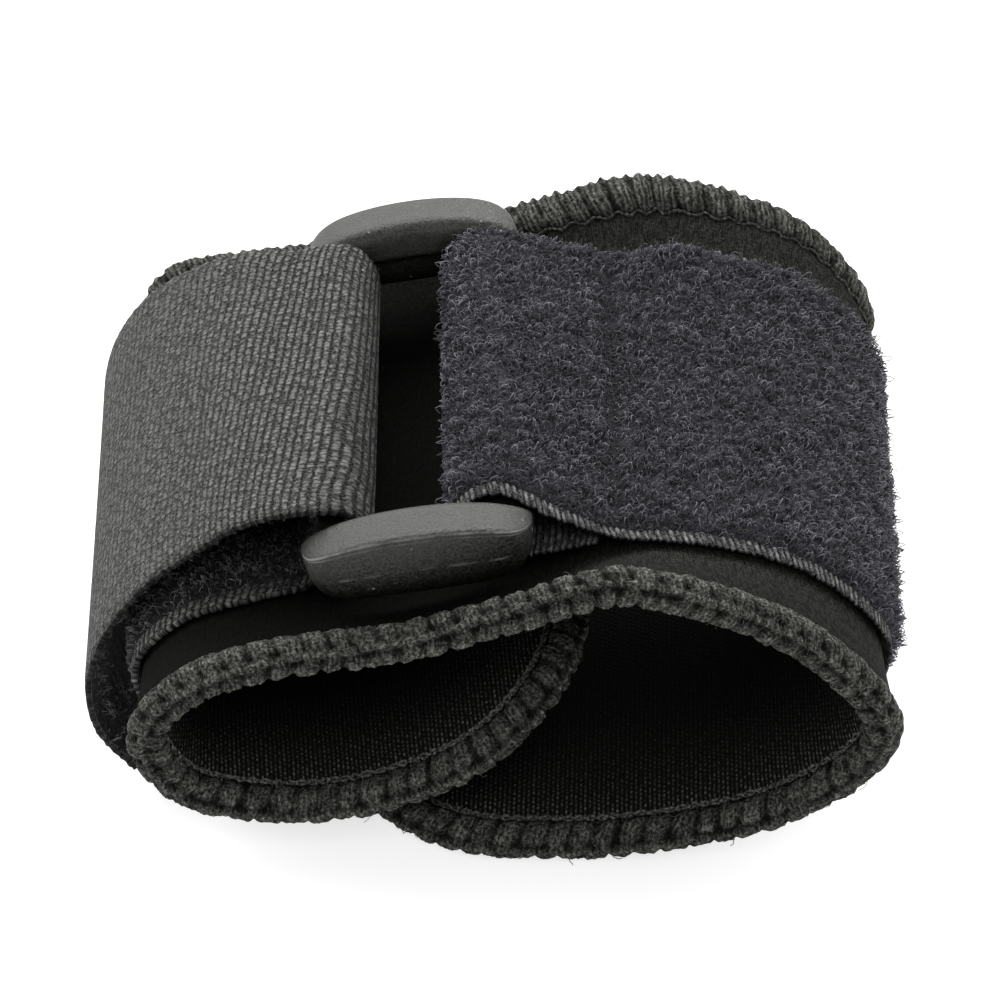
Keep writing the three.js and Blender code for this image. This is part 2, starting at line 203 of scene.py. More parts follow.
class Sheet:
    """A curved sheet held as a dense table of points and normals."""

    def __init__(self, curve: Array, measure: Array, half_width: float, steps: int) -> None:
        """Spaces the curve evenly along each column and finds its normals.

        Args:
            curve: The sheet's middle as (steps, columns, 3).
            measure: The curve that is used to measure length, of the same shape.
            half_width: Half the sheet's width.
            steps: Rows of the finished table.
        """
        pace = np.linalg.norm(np.diff(measure, axis=0), axis=-1)
        run = np.concatenate([np.zeros((1, pace.shape[1])), pace.cumsum(axis=0)])
        share = run / run[-1]
        target = np.linspace(0, 1, steps)
        columns = [
            np.stack([np.interp(target, share[:, j], curve[:, j, k]) for k in range(3)], axis=-1)
            for j in range(curve.shape[1])
        ]
        self.points = np.stack(columns, axis=1)
        along = np.gradient(self.points, axis=0)
        across = np.gradient(self.points, axis=1)
        self.normals = unit(np.cross(across, along))
        self.half_width = half_width
        self.length = float(run[-1, run.shape[1] // 2])

    def place(self, share: Array, side: Array) -> tuple[Array, Array]:
        """Blends the four nearest rows of the table.

        Args:
            share: Shares of the length.
            side: Places from -1 at the front to 1 at the rear.

        Returns:
            Points and unit normals.
        """
        rows, columns = self.points.shape[:2]
        i = np.asarray(share) * (rows - 1)
        j = (np.asarray(side) + 1) / 2 * (columns - 1)
        i, j = np.broadcast_arrays(i, j)
        i0 = np.clip(np.floor(i), 0, rows - 2).astype(int)
        j0 = np.clip(np.floor(j), 0, columns - 2).astype(int)
        f = (i - i0)[..., None]
        g = (j - j0)[..., None]

        def blend(table: Array) -> Array:
            """Blends one table bilinearly.

            Args:
                table: Values at the table's rows and columns.

            Returns:
                The blended values.
            """
            near = table[i0, j0] * (1 - g) + table[i0, j0 + 1] * g
            far = table[i0 + 1, j0] * (1 - g) + table[i0 + 1, j0 + 1] * g
            return near * (1 - f) + far * f

        return blend(self.points), unit(blend(self.normals))

    def at(self, share: Array, side: Array, rise: Array | float) -> Array:
        """Returns points raised above the sheet's middle along its normals."""
        points, normals = self.place(share, side)
        return points + normals * np.broadcast_to(rise, points.shape[:-1])[..., None]


@dataclass(frozen=True)
class CoilRow:
    """One row of the coil: the wall's middle at the front edge, the waist and the rear shift."""

    x: float
    z: float
    waist: float
    rear_x: float
    rear_z: float


COIL = (
    CoilRow(-20, 2.1, 0, 0, 0),
    CoilRow(-10, 1.9, -0.35, 0, 0),
    CoilRow(0, 1.9, -0.35, 0, 0),
    CoilRow(9, 2.2, -0.3, 0, 0),
    CoilRow(25, 6.2, 0.3, 0.8, 0),
    CoilRow(34.2, 13, 1.2, 0.6, 0),
    CoilRow(35.9, 18.2, 1.6, 0.4, 0.8),
    CoilRow(28.3, 28.2, 3, 1.5, 1.2),
    CoilRow(17.5, 34.2, 5.4, 1.8, 0.2),
    CoilRow(8.6, 36.2, 7.3, 2.4, -0.6),
    CoilRow(-0.6, 32.7, 6.4, 1.6, -0.2),
    CoilRow(-12, 28.3, 4.5, -1, -0.4),
    CoilRow(-25.7, 25.3, 3.5, -3.6, 0),
    CoilRow(-33.4, 21.2, 2.5, -6.2, 1.4),
    CoilRow(-37.3, 15, 1.4, -5, 1),
    CoilRow(-33.8, 8.5, 0.4, -4.4, 0),
    CoilRow(-25.5, 6.2, 0, -3.6, 0),
    CoilRow(-16.5, 7, 0, -3.6, 0),
    CoilRow(-5, 12, 0, -4.4, -0.6),
    CoilRow(8, 19.8, 0, -6, -2),
)


@dataclass
class CoiledStrip:
    """The strip of padded cloth, coiled about the Y axis into two lobes."""

    width: float = 72.0
    wall: float = 3.0
    corner_radius: float = 20.0
    flat_half: float = 20.0
    columns: int = 145
    steps: int = 1600
    per_span: int = 64
    sheet: Sheet = field(init=False)

    def __post_init__(self) -> None:
        """Lays out the sheet: each column is a curve through the rows, pressed in by the waist."""
        across = np.linspace(-self.width / 2, self.width / 2, self.columns)
        rear = ((across + self.width / 2) / self.width)[None, :]
        table = np.array([[r.x, r.z, r.waist, r.rear_x, r.rear_z] for r in COIL])[:, :, None]
        x = table[:, 0] + table[:, 3] * rear
        z = table[:, 1] + table[:, 4] * rear
        rows = np.stack([x, np.broadcast_to(across, x.shape), z], axis=-1)
        curve = spline(rows, self.per_span)
        waist = spline(table[:, 2][:, :, None], self.per_span, even=True)[..., 0]
        beyond = np.maximum(np.abs(across) - self.flat_half, 0) / (self.width / 2 - self.flat_half)
        pressed = waist * (1 - np.minimum(beyond, 1) ** 2)
        along = unit(np.gradient(curve, axis=0))
        bent = curve.copy()
        bent[..., 0] -= along[..., 2] * pressed
        bent[..., 2] += along[..., 0] * pressed
        self.sheet = Sheet(bent - FOOT, curve, self.width / 2, self.steps)

    def inward(self, distance: Array, across: Array) -> Array:
        """Measures how far a place is inside the strip's outline with its rounded corners.

        Args:
            distance: Distances along the strip.
            across: Places across it, from its middle.

        Returns:
            Distances to the outline, negative outside it.
        """
        half_length = self.sheet.length / 2
        qx = np.abs(distance - half_length) - (half_length - self.corner_radius)
        qy = np.abs(across) - (self.width / 2 - self.corner_radius)
        corner = np.hypot(np.maximum(qx, 0), np.maximum(qy, 0))
        return self.corner_radius - corner - np.minimum(np.maximum(qx, qy), 0)


class Outline:
    """One edge of the strip, from the middle of its outer end to the middle of its inner end."""

    def __init__(self, strip: CoiledStrip, side: Side, corner_steps: int = 60) -> None:
        """Strings the outline together: half an end, a corner, a side, a corner and half an end.

        Args:
            strip: The strip that the edge belongs to.
            side: Which edge it is.
            corner_steps: Points round each corner.
        """
        radius = strip.corner_radius
        half = strip.width / 2
        length = strip.sheet.length
        turn = np.linspace(0, math.pi / 2, corner_steps)
        cosine, sine = np.cos(turn), np.sin(turn)
        near = np.stack([radius * (1 - cosine), half - radius * (1 - sine), -cosine, sine])
        far = np.stack([length - near[0], near[1], -near[2], near[3]])[:, ::-1]
        start = np.array([[0.0], [GAP / 2], [-1.0], [0.0]])
        end = np.array([[length], [GAP / 2], [1.0], [0.0]])
        table = np.concatenate([start, near, far, end], axis=1)
        step = np.hypot(np.diff(table[0]), np.diff(table[1]))
        self.run = np.concatenate([[0.0], step.cumsum()])
        self.table = table
        self.strip = strip
        self.sign = side.value
        self.length = float(self.run[-1])

    def at(self, run: Array, inward: Array, rise: Array) -> Array:
        """Places points by their run along the edge, their way inward and their rise.

        Args:
            run: Length along the outline.
            inward: Distance inwards from the outline.
            rise: Height above the middle of the wall, outwards of the coil.

        Returns:
            Points of the broadcast shape.
        """
        run, inward, rise = np.broadcast_arrays(run, inward, rise)
        stops = (np.interp(run, self.run, row) for row in self.table)
        distance, across, along_out, across_out = stops
        share = (distance - along_out * inward) / self.strip.sheet.length
        side = self.sign * (across - across_out * inward) / (self.strip.width / 2)
        return on_table(self.strip.sheet.at(share, side, rise))


# Meshes


def grid_faces(rows: int, columns: int, closed: bool = False) -> Array:
    """Numbers the quads of a grid of points.

    Args:
        rows: Rows of points.
        columns: Points in each row.
        closed: Whether the last column joins the first.

    Returns:
        Vertex numbers as (faces, 4).
    """
    i = np.arange(rows - 1)[:, None]
    j = np.arange(columns if closed else columns - 1)[None, :]
    k = (j + 1) % columns
    a, b = i * columns + j, i * columns + k
    return np.stack([a, b, b + columns, a + columns], axis=-1).reshape(-1, 4)


class MeshDraft:
    """Gathers points, faces, a map in millimetres and a shade, and makes one mesh of them."""

    def __init__(self) -> None:
        """Starts with nothing."""
        self.points: list[Array] = []
        self.maps: list[Array] = []
        self.shades: list[Array] = []
        self.faces: list[Array] = []
        self.slots: list[Array] = []
        self.count = 0

    def add_points(self, points: Array, uv: Array, shade: Array | float = 0.5) -> int:
        """Adds points with their map and shade.

        Args:
            points: Points as (..., 3), in millimetres.
            uv: Map coordinates as (..., 2).
            shade: A number from 0 to 1 for each point, or one for all.

        Returns:
            The number of the first point.
        """
        first = self.count
        flat = points.reshape(-1, 3)
        self.points.append(flat)
        self.maps.append(np.broadcast_to(uv, points.shape[:-1] + (2,)).reshape(-1, 2))
        self.shades.append(np.broadcast_to(shade, points.shape[:-1]).reshape(-1))
        self.count += len(flat)
        return first

    def add_faces(self, faces: Array, slot: Array | int = 0) -> None:
        """Adds faces of one number of corners, with one material slot or a slot for each."""
        self.faces.append(faces)
        self.slots.append(np.broadcast_to(slot, len(faces)))

    def add_wall(
        self,
        over: Array,
        under: Array,
        uv: Array,
        slots: tuple[int, int, Array | int],
        shades: tuple[Array | float, Array | float] = (0.5, 0.5),
    ) -> None:
        """Adds a closed wall between two grids of points.

        Args:
            over: The face on the normals' side, as (rows, columns, 3).
            under: The other face.
            uv: The map that both faces share.
            slots: Material slots of the over face, the under face and the rim. The rim's may be
                one for each row.
            shades: Shades of the over face and the under face.
        """
        rows, columns = over.shape[:2]
        top = self.add_points(over, uv, shades[0])
        bottom = self.add_points(under, uv, shades[1])
        quads = grid_faces(rows, columns)
        self.add_faces(quads + top, slots[0])
        self.add_faces(quads[:, ::-1] + bottom, slots[1])
        loop = np.concatenate(
            [
                np.arange(columns),
                np.arange(1, rows) * columns + columns - 1,
                (rows - 1) * columns + np.arange(columns - 2, -1, -1),
                np.arange(rows - 2, 0, -1) * columns,
            ]
        )
        after = np.roll(loop, -1)
        rim = np.broadcast_to(slots[2], rows)[loop // columns]
        sides = np.stack([after + top, loop + top, loop + bottom, after + bottom], axis=-1)
        self.add_faces(sides, rim)

    def add_tubes(
        self,
        centres: Array,
        guides: Array,
        radius: Array | float,
        sides: int,
        shade: Array | float = 0.5,
        slot: int = 0,
    ) -> None:
        """Adds closed tubes: a circle carried along each path, square to it.

        Args:
            centres: Paths as (tubes, steps, 3).
            guides: Directions that are never along the paths, of the same shape.
            radius: Radius at each step, or one for all.
            sides: Corners of each circle.
            shade: A shade for each tube, or one for all.
            slot: Material slot.
        """
        tubes, steps = centres.shape[:2]
        ahead = unit(np.gradient(centres, axis=1))
        aside = unit(np.cross(ahead, guides))
        up = np.cross(aside, ahead)
        turn = 2 * math.pi * np.arange(sides) / sides
        reach = np.broadcast_to(radius, (tubes, steps))[:, :, None, None]
        circle = np.cos(turn)[:, None] * up[:, :, None] + np.sin(turn)[:, None] * aside[:, :, None]
        points = centres[:, :, None] + reach * circle
        pace = np.linalg.norm(np.diff(centres, axis=1), axis=-1)
        run = np.concatenate([np.zeros((tubes, 1)), pace.cumsum(axis=1)], axis=1)
        uv = np.stack(np.broadcast_arrays(run[:, :, None], turn[None, None]), axis=-1)
        tone = np.broadcast_to(np.reshape(shade, (-1, 1, 1)), (tubes, steps, sides))
        first = self.add_points(points, uv, tone)
        offset = (np.arange(tubes) * steps * sides)[:, None, None] + first
        quads = grid_faces(steps, sides, closed=True)[:, ::-1]
        self.add_faces((quads[None] + offset).reshape(-1, 4), slot)
        around = np.arange(1, sides - 1)
        fan = np.stack([np.zeros_like(around), around, around + 1], axis=-1)
        last = (steps - 1) * sides
        caps = np.concatenate([fan, fan[:, ::-1] + last])
        self.add_faces((caps[None] + offset).reshape(-1, 3), slot)

    def build(self, name: str, materials: list[bpy.types.Material]) -> bpy.types.Object:
        """Makes the mesh object in metres.

        Args:
            name: The piece's name.
            materials: Its material slots.

        Returns:
            The new object, linked to the scene.
        """
        mesh = bpy.data.meshes.new(name)
        loops = np.concatenate([f.ravel() for f in self.faces])
        corners = np.concatenate([np.full(len(f), f.shape[1]) for f in self.faces])
        mesh.vertices.add(self.count)
        places = np.concatenate(self.points) * MM
        mesh.vertices.foreach_set("co", places.astype(np.float32).ravel())
        mesh.loops.add(len(loops))
        mesh.loops.foreach_set("vertex_index", loops.astype(np.int32))
        mesh.polygons.add(len(corners))
        mesh.polygons.foreach_set("loop_start", (np.cumsum(corners) - corners).astype(np.int32))
        mesh.polygons.foreach_set("material_index", np.concatenate(self.slots).astype(np.int32))
        mesh.polygons.foreach_set("use_smooth", np.ones(len(corners), dtype=bool))
        uv = mesh.uv_layers.new(name="cloth")
        uv.uv.foreach_set("vector", np.concatenate(self.maps)[loops].astype(np.float32).ravel())
        shade = mesh.attributes.new("shade", "FLOAT", "POINT")
        shade.data.foreach_set("value", np.concatenate(self.shades).astype(np.float32))
        mesh.update(calc_edges=True)
        mesh.validate()
        for material in materials:
            mesh.materials.append(material)
        piece = bpy.data.objects.new(name, mesh)
        bpy.context.scene.collection.objects.link(piece)
        LOG.info("%s: %d points, %d faces", name, self.count, len(corners))
        return piece


# Shaders


class Wire:
    """A shader socket that takes part in Python expressions."""

    def __init__(self, desk: "Desk", socket: bpy.types.NodeSocket) -> None:
        """Holds an output socket and the desk that owns it."""
        self.desk = desk
        self.socket = socket

    def math(self, operation: str, *values: Any) -> "Wire":
        """Adds a Math node with this wire as its first value."""
        inputs = dict(enumerate((self, *values)))
        return self.desk.node("ShaderNodeMath", {"operation": operation}, inputs)

    def __add__(self, other: Any) -> "Wire":
        """Adds."""
        return self.math("ADD", other)

    __radd__ = __add__

    def __sub__(self, other: Any) -> "Wire":
        """Subtracts."""
        return self.math("SUBTRACT", other)

    def __rsub__(self, other: float) -> "Wire":
        """Subtracts this wire from a number."""
        return self.desk.node("ShaderNodeMath", {"operation": "SUBTRACT"}, {0: other, 1: self})

    def __mul__(self, other: Any) -> "Wire":
        """Multiplies."""
        return self.math("MULTIPLY", other)

    __rmul__ = __mul__

    def __truediv__(self, other: Any) -> "Wire":
        """Divides."""
        return self.math("DIVIDE", other)

    def __pow__(self, other: float) -> "Wire":
        """Raises to a power."""
        return self.math("POWER", other)

    def wave(self) -> "Wire":
        """Returns a wave from 0 to 1 that has its crests at whole numbers."""
        return (self * (2 * math.pi)).math("COSINE") * 0.5 + 0.5

    def whole(self) -> "Wire":
        """Returns the whole part."""
        return self.math("FLOOR")

    def ramp(self, low: float, high: float, start: float = 0.0, end: float = 1.0) -> "Wire":
        """Maps low to start and high to end with a smooth climb.

        Args:
            low: Value where the climb starts.
            high: Value where it ends.
            start: What the wire gives up to low.
            end: What it gives from high on.

        Returns:
            The mapped wire.
        """
        settings = {"interpolation_type": "SMOOTHSTEP"}
        inputs = {0: self, 1: low, 2: high, 3: start, 4: end}
        return self.desk.node("ShaderNodeMapRange", settings, inputs)


class Desk:
    """Builds one material's nodes."""

    def __init__(self, name: str) -> None:
        """Starts a material with its shader and output.

        Args:
            name: The material's name.
        """
        self.material = bpy.data.materials.new(name)
        self.material.use_nodes = True
        self.tree = self.material.node_tree
        self.shader = self.tree.nodes["Principled BSDF"]

    def node(
        self,
        kind: str,
        settings: dict[str, Any],
        inputs: dict[Any, Any],
        output: Any = 0,
    ) -> Wire:
        """Adds a node.

        Args:
            kind: The node's type.
            settings: Properties that are set first.
            inputs: Values or wires by the socket's name or number.
            output: The output's name or number.

        Returns:
            The output as a wire.
        """
        node = self.tree.nodes.new(kind)
        for key, value in settings.items():
            setattr(node, key, value)
        for key, value in inputs.items():
            self.plug(node.inputs[key], value)
        return Wire(self, node.outputs[output])

    def plug(self, socket: bpy.types.NodeSocket, value: Any) -> None:
        """Links a wire to a socket, or sets its value."""
        if isinstance(value, Wire):
            self.tree.links.new(value.socket, socket)
        else:
            socket.default_value = value

    def cloth(self) -> tuple[Wire, Wire]:
        """Reads the piece's map.

        Returns:
            Millimetres along and across.
        """
        uv = self.node("ShaderNodeUVMap", {"uv_map": "cloth"}, {})
        split = self.node("ShaderNodeSeparateXYZ", {}, {0: uv})
        return split, Wire(self, split.socket.node.outputs[1])

    def shade(self) -> Wire:
        """Returns the piece's own shade."""
        return self.node("ShaderNodeAttribute", {"attribute_name": "shade"}, {}, "Fac")

    def join(self, x: Any, y: Any, z: Any = 0.0) -> Wire:
        """Joins three values into a vector."""
        return self.node("ShaderNodeCombineXYZ", {}, {0: x, 1: y, 2: z})

    def solid(self) -> Wire:
        """Returns the place on the object."""
        return self.node("ShaderNodeTexCoord", {}, {}, "Object")

    def noise(
        self,
        place: Wire,
        scale: float,
        detail: float = 3.0,
        roughness: float = 0.55,
        twist: float = 0.0,
    ) -> Wire:
        """Returns a noise from 0 to 1, twisted out of shape where asked."""
        inputs = {
            "Vector": place,
            "Scale": scale,
            "Detail": detail,
            "Roughness": roughness,
            "Distortion": twist,
        }
        return self.node("ShaderNodeTexNoise", {}, inputs)

    def curls(self, place: Wire, scale: float, width: float) -> Wire:
        """Returns curled strokes: the lines where a twisted noise passes its middle value."""
        middle = (self.noise(place, scale, 1.0, 0.5, 1.2) - 0.5).math("ABSOLUTE")
        return middle.ramp(0.0, width, 1.0, 0.0)

    def mix(self, factor: Wire, first: Any, second: Any) -> Wire:
        """Blends two colours, or wires of colour, by a factor.

        Args:
            factor: 0 for the first and 1 for the second.
            first: A colour or a wire of one.
            second: The other colour or wire.

        Returns:
            The blended colour.
        """
        settings = {"data_type": "RGBA", "clamp_factor": True}
        pair = [v if isinstance(v, Wire) else (*v, 1.0) for v in (first, second)]
        return self.node("ShaderNodeMix", settings, {0: factor, 6: pair[0], 7: pair[1]}, 2)

    def dress(
        self,
        colour: Wire,
        roughness: Any,
        height: Wire | None = None,
        depth: float = 0.1,
        fixed: dict[str, Any] | None = None,
    ) -> bpy.types.Material:
        """Feeds the shader and returns the material.

        Args:
            colour: Base colour.
            roughness: Roughness, a number or a wire.
            height: Height of the relief from 0 to 1.
            depth: Depth of the relief in millimetres.
            fixed: Numbers and colours that are the same all over.

        Returns:
            The finished material.
        """
        self.plug(self.shader.inputs["Base Color"], colour)
        self.plug(self.shader.inputs["Roughness"], roughness)
        for key, value in (fixed or {}).items():
            self.shader.inputs[key].default_value = value
        if height is not None:
            inputs = {"Distance": depth * MM, "Height": height}
            bump = self.node("ShaderNodeBump", {}, inputs, "Normal")
            self.plug(self.shader.inputs["Normal"], bump)
        return self.material


@dataclass(frozen=True)
class KnitFace:
    """The smooth jersey on the outside of the band."""

    dark: Colour = (0.002, 0.0021, 0.0018)
    light: Colour = (0.046, 0.0465, 0.041)
    wale: float = 0.3
    course: float = 0.5

    def material(self) -> bpy.types.Material:
        """Draws wales of small V-shaped stitches and specks of fibre, with painted shade beneath and
        between the straps and along the front margin.

        Returns:
            The finished material.
        """
        desk = Desk("knit_face")
        along, across = desk.cloth()
        place = desk.join(along, across)
        lean = (along / self.wale + desk.noise(place, 0.8) * 0.8).wave()
        stitch = (across / self.course + lean * 0.5).wave()
        relief = lean * 0.6 + stitch * 0.4
        streak = desk.noise(desk.join(along * 2.6, across * 0.7), 1.0, 2.0, 0.6).ramp(0.42, 0.58)
        speckle = desk.noise(place, 3.0, 3.0, 0.7).ramp(0.38, 0.62)
        cloud = desk.noise(desk.solid(), 180.0)
        # The shade gives painted shade beneath and between the straps and along the front margin.
        tone = (relief * 0.34 + streak * 0.24 + speckle * 0.34 + cloud * 0.08) ** 1.6 * desk.shade()
        colour = desk.mix(tone, self.dark, self.light)
        height = streak * 0.5 + speckle * 0.5
        return desk.dress(colour, 0.95, height, 0.1, {"Specular IOR Level": 0.05})


@dataclass(frozen=True)
class LiningFace:
    """The lining on the inside of the band, knitted in columns of small bright stitches."""

    ground: Colour = (0.0085, 0.0086, 0.0078)
    dot: Colour = (0.25, 0.252, 0.238)
    column: float = 0.49
    stitch: float = 0.7

    def material(self) -> bpy.types.Material:
        """Draws columns of stitches across the strip, with painted light near the edges that fades to
        painted shade inside.

        Returns:
            The finished material.
        """
        desk = Desk("lining_face")
        along, across = desk.cloth()
        place = desk.join(along, across)
        wander = desk.noise(place, 0.5)
        columns = (along / self.column + wander * 0.4).wave()
        row = (along / self.column + wander * 0.4 + 0.5).whole()
        dots = columns * (across / self.stitch + wander * 1.4 + row * 0.41).wave()
        patchy = desk.noise(place, 1.7, 3.0, 0.65).ramp(0.38, 0.66, 0.05, 1.0)
        spot = dots.ramp(0.25, 1.0) * 0.75 + columns.ramp(0.3, 1.0) * 0.25
        # The shade gives painted light near the edges and painted shade deeper in.
        colour = desk.mix(spot * patchy * desk.shade(), self.ground, self.dot)
        return desk.dress(colour, 0.95, dots, 0.12, {"Specular IOR Level": 0.05})


@dataclass(frozen=True)
class OverlockYarn:
    """Textured yarn of many crimped filaments."""

    name: str
    dark: Colour
    light: Colour
    fuzziness: float = 0.52
    strand: float = 0.62

    def material(self) -> bpy.types.Material:
        """Draws strands and filaments along the bundles, with fuzz, and painted shade in the hollows.

        Returns:
            The finished material.
        """
        desk = Desk(self.name)
        along, across = desk.cloth()
        strands = (along / self.strand + desk.noise(desk.join(along, across), 0.7) * 1.5).wave()
        filaments = desk.noise(desk.join(along * 5.0, across * 1.5), 1.0, 3.0, 0.6).ramp(0.32, 0.68)
        fuzz = desk.noise(desk.solid(), 3200.0, 3.0, 0.62).ramp(0.34, 0.66)
        thread = filaments * 0.3 + fuzz * self.fuzziness + strands * (0.7 - self.fuzziness)
        # On the roll the shade gives painted shade in the hollows and painted light on the crests.
        tone = thread**1.8 * (desk.shade() * 1.35 + 0.05)
        colour = desk.mix(tone, self.dark, self.light)
        return desk.dress(colour, 0.9, thread, 0.3, {"Specular IOR Level": 0.1})


@dataclass(frozen=True)
class MouldedPlastic:
    """Satin moulded plastic with a fine eroded skin and a little dust."""

    dark: Colour = (0.002, 0.0021, 0.0014)
    light: Colour = (0.05, 0.051, 0.0445)
    dust: Colour = (0.22, 0.22, 0.21)
    # Colour of the painted highlight on the ridges and the painted light on the upper inner faces.
    painted_light: Colour = (0.19, 0.191, 0.182)

    def material(self) -> bpy.types.Material:
        """Draws the skin's fine grain with painted shade low down, painted highlights on the ridges,
        painted light on the upper inner faces, and a little dust.

        Returns:
            The finished material.
        """
        desk = Desk("moulded_plastic")
        place = desk.solid()
        _, height = desk.cloth()
        grain = desk.noise(place, 3200.0, 3.0, 0.65)
        cloud = desk.noise(place, 130.0, 4.0)
        speck = desk.noise(place, 1100.0, 1.0).ramp(0.76, 0.8)
        # Painted highlight on the raised lines and painted light on the upper inner faces, carried by
        # the shade.
        painted_light_mask = desk.shade() * desk.noise(place, 420.0, 2.0).ramp(0.3, 0.6, 0.25, 1.0)
        mottled = cloud * 0.3 + grain.ramp(0.36, 0.64) * 0.7
        # Painted shade: the skin gets darker towards the bottom of the rails.
        skin = desk.mix(mottled * height.ramp(-4.5, 1.5, 0.2, 1.0), self.dark, self.light)
        colour = desk.mix(speck, desk.mix(painted_light_mask, skin, self.painted_light), self.dust)
        roughness = (cloud * 0.4 + grain * 0.6).ramp(0.36, 0.64, 0.34, 0.54)
        return desk.dress(colour, roughness, grain, 0.13, {"Specular IOR Level": 0.38})


@dataclass(frozen=True)
class PileFibre:
    """The fibres of a looped pile."""

    name: str
    dark: Colour
    light: Colour

    def material(self) -> bpy.types.Material:
        """Gives each fibre a tone of its own, with painted shade over the low places of the ground and
        in the seams.

        Returns:
            The finished material.
        """
        desk = Desk(self.name)
        along, _ = desk.cloth()
        tone = desk.shade() * 0.8 + desk.noise(desk.join(along, desk.shade() * 40), 1.5) * 0.2
        colour = desk.mix(tone, self.dark, self.light)
        return desk.dress(colour, 0.6, None, 0.0, {"Specular IOR Level": 0.3})


@dataclass(frozen=True)
class FleeceGround:
    """The matted fibres beneath the standing loops of a pile."""

    name: str
    dark: Colour
    light: Colour
    streak_start: float = 31.7

    def material(self) -> bpy.types.Material:
        """Draws curled strokes and slanting streaks over a mottled ground, with painted shade in the
        seams.

        Returns:
            The finished material.
        """
        desk = Desk(self.name)
        along, across = desk.cloth()
        place = desk.join(along, across)
        slant = (along + across) / 3 + self.streak_start
        streaks = desk.curls(desk.join(slant, slant, slant), 1.8, 0.1)
        strokes = desk.curls(place, 1.2, 0.09) * 0.5 + streaks * 0.5
        mottled = desk.noise(place, 2.8, 3.0, 0.65).ramp(0.32, 0.68)
        # The shade darkens the fleece in the seams: painted shade.
        tone = (strokes * 0.55 + mottled * 0.45) * desk.shade()
        colour = desk.mix(tone, self.dark, self.light)
        return desk.dress(colour, 0.9, tone, 0.25, {"Specular IOR Level": 0.12})


@dataclass(frozen=True)
class RibbedTape:
    """Woven tape with ribs across it, made of small floats."""

    name: str
    dark: Colour
    light: Colour
    rib: float = 0.84
    bead: float = 0.6
    lint: Colour = (0.45, 0.45, 0.44)
    # Place along the tape of the painted shade across the fold.
    fold_shade_at: float = -100.0

    def material(self) -> bpy.types.Material:
        """Draws a bead for each float along the ribs, uneven, with painted shade where the tape is bent
        round the fold.

        Returns:
            The finished material.
        """
        desk = Desk(self.name)
        along, across = desk.cloth()
        place = desk.join(along, across)
        course = along / self.rib + desk.noise(place, 1.6) * 0.5 + 0.25
        lattice = desk.join(course, across / self.bead + course.whole() * 0.5)
        settings = {"voronoi_dimensions": "2D", "feature": "F1"}
        cells = {"Vector": lattice, "Scale": 1.0, "Randomness": 0.8}
        reach = desk.node("ShaderNodeTexVoronoi", settings, cells)
        colours = Wire(desk, reach.socket.node.outputs["Color"])
        tint = desk.node("ShaderNodeRGBToBW", {}, {0: colours})
        clear = desk.shade()
        rows = (course - 0.5).wave().ramp(0.03, 0.58)
        float_tone = (reach.ramp(0.12, 0.64, 1.0, 0.0) * 0.78 + 0.22) * (tint * 0.7 + 0.3)
        bead = float_tone * (rows * 0.95 + 0.05) * clear + (1 - clear) * (float_tone * 0.55 + 0.08)
        fray = desk.noise(place, 4.2, 3.0, 0.7).ramp(0.36, 0.64)
        # Painted shade across the fold.
        bent = (along - self.fold_shade_at).math("ABSOLUTE").ramp(1.0, 7.0, 0.6, 1.0)
        tone = (bead * 0.98 + fray * 0.46 - 0.17) * bent
        lint = desk.noise(place, 1.3, 1.0).ramp(0.79, 0.83)
        colour = desk.mix(lint, desk.mix(tone, self.dark, self.light), self.lint)
        return desk.dress(colour, 0.9, bead * 0.7 + fray * 0.3, 0.3, {"Specular IOR Level": 0.08})


@dataclass(frozen=True)
class PaleFloor:
    """The plain white table."""

    colour: Colour = (0.5, 0.5, 0.5)
    glow: float = 0.735

    def material(self) -> bpy.types.Material:
        """Gives the floor one matt white with a faint change of tone.

        Returns:
            The finished material.
        """
        desk = Desk("pale_floor")
        cloud = desk.noise(desk.solid(), 3.0)
        tone = desk.mix(cloud, self.colour, tuple(c * 0.995 for c in self.colour))
        fixed = {
            "Specular IOR Level": 0.1,
            "Emission Color": (1.0, 1.0, 1.0, 1.0),
            "Emission Strength": self.glow,
        }
        return desk.dress(tone, 0.8, None, 0.0, fixed)


# Pieces


def settle(piece: bpy.types.Object, slot: str, *nodes: str) -> bpy.types.Object:
    """Rides a piece on the body and hides the nodes that it stands for.

    Args:
        piece: The finished object.
        slot: Not used.
        nodes: The CAD nodes that it replaces.

    Returns:
        The same object.
    """
    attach(piece, BODY)
    if nodes:
        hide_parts(*nodes)
    return piece


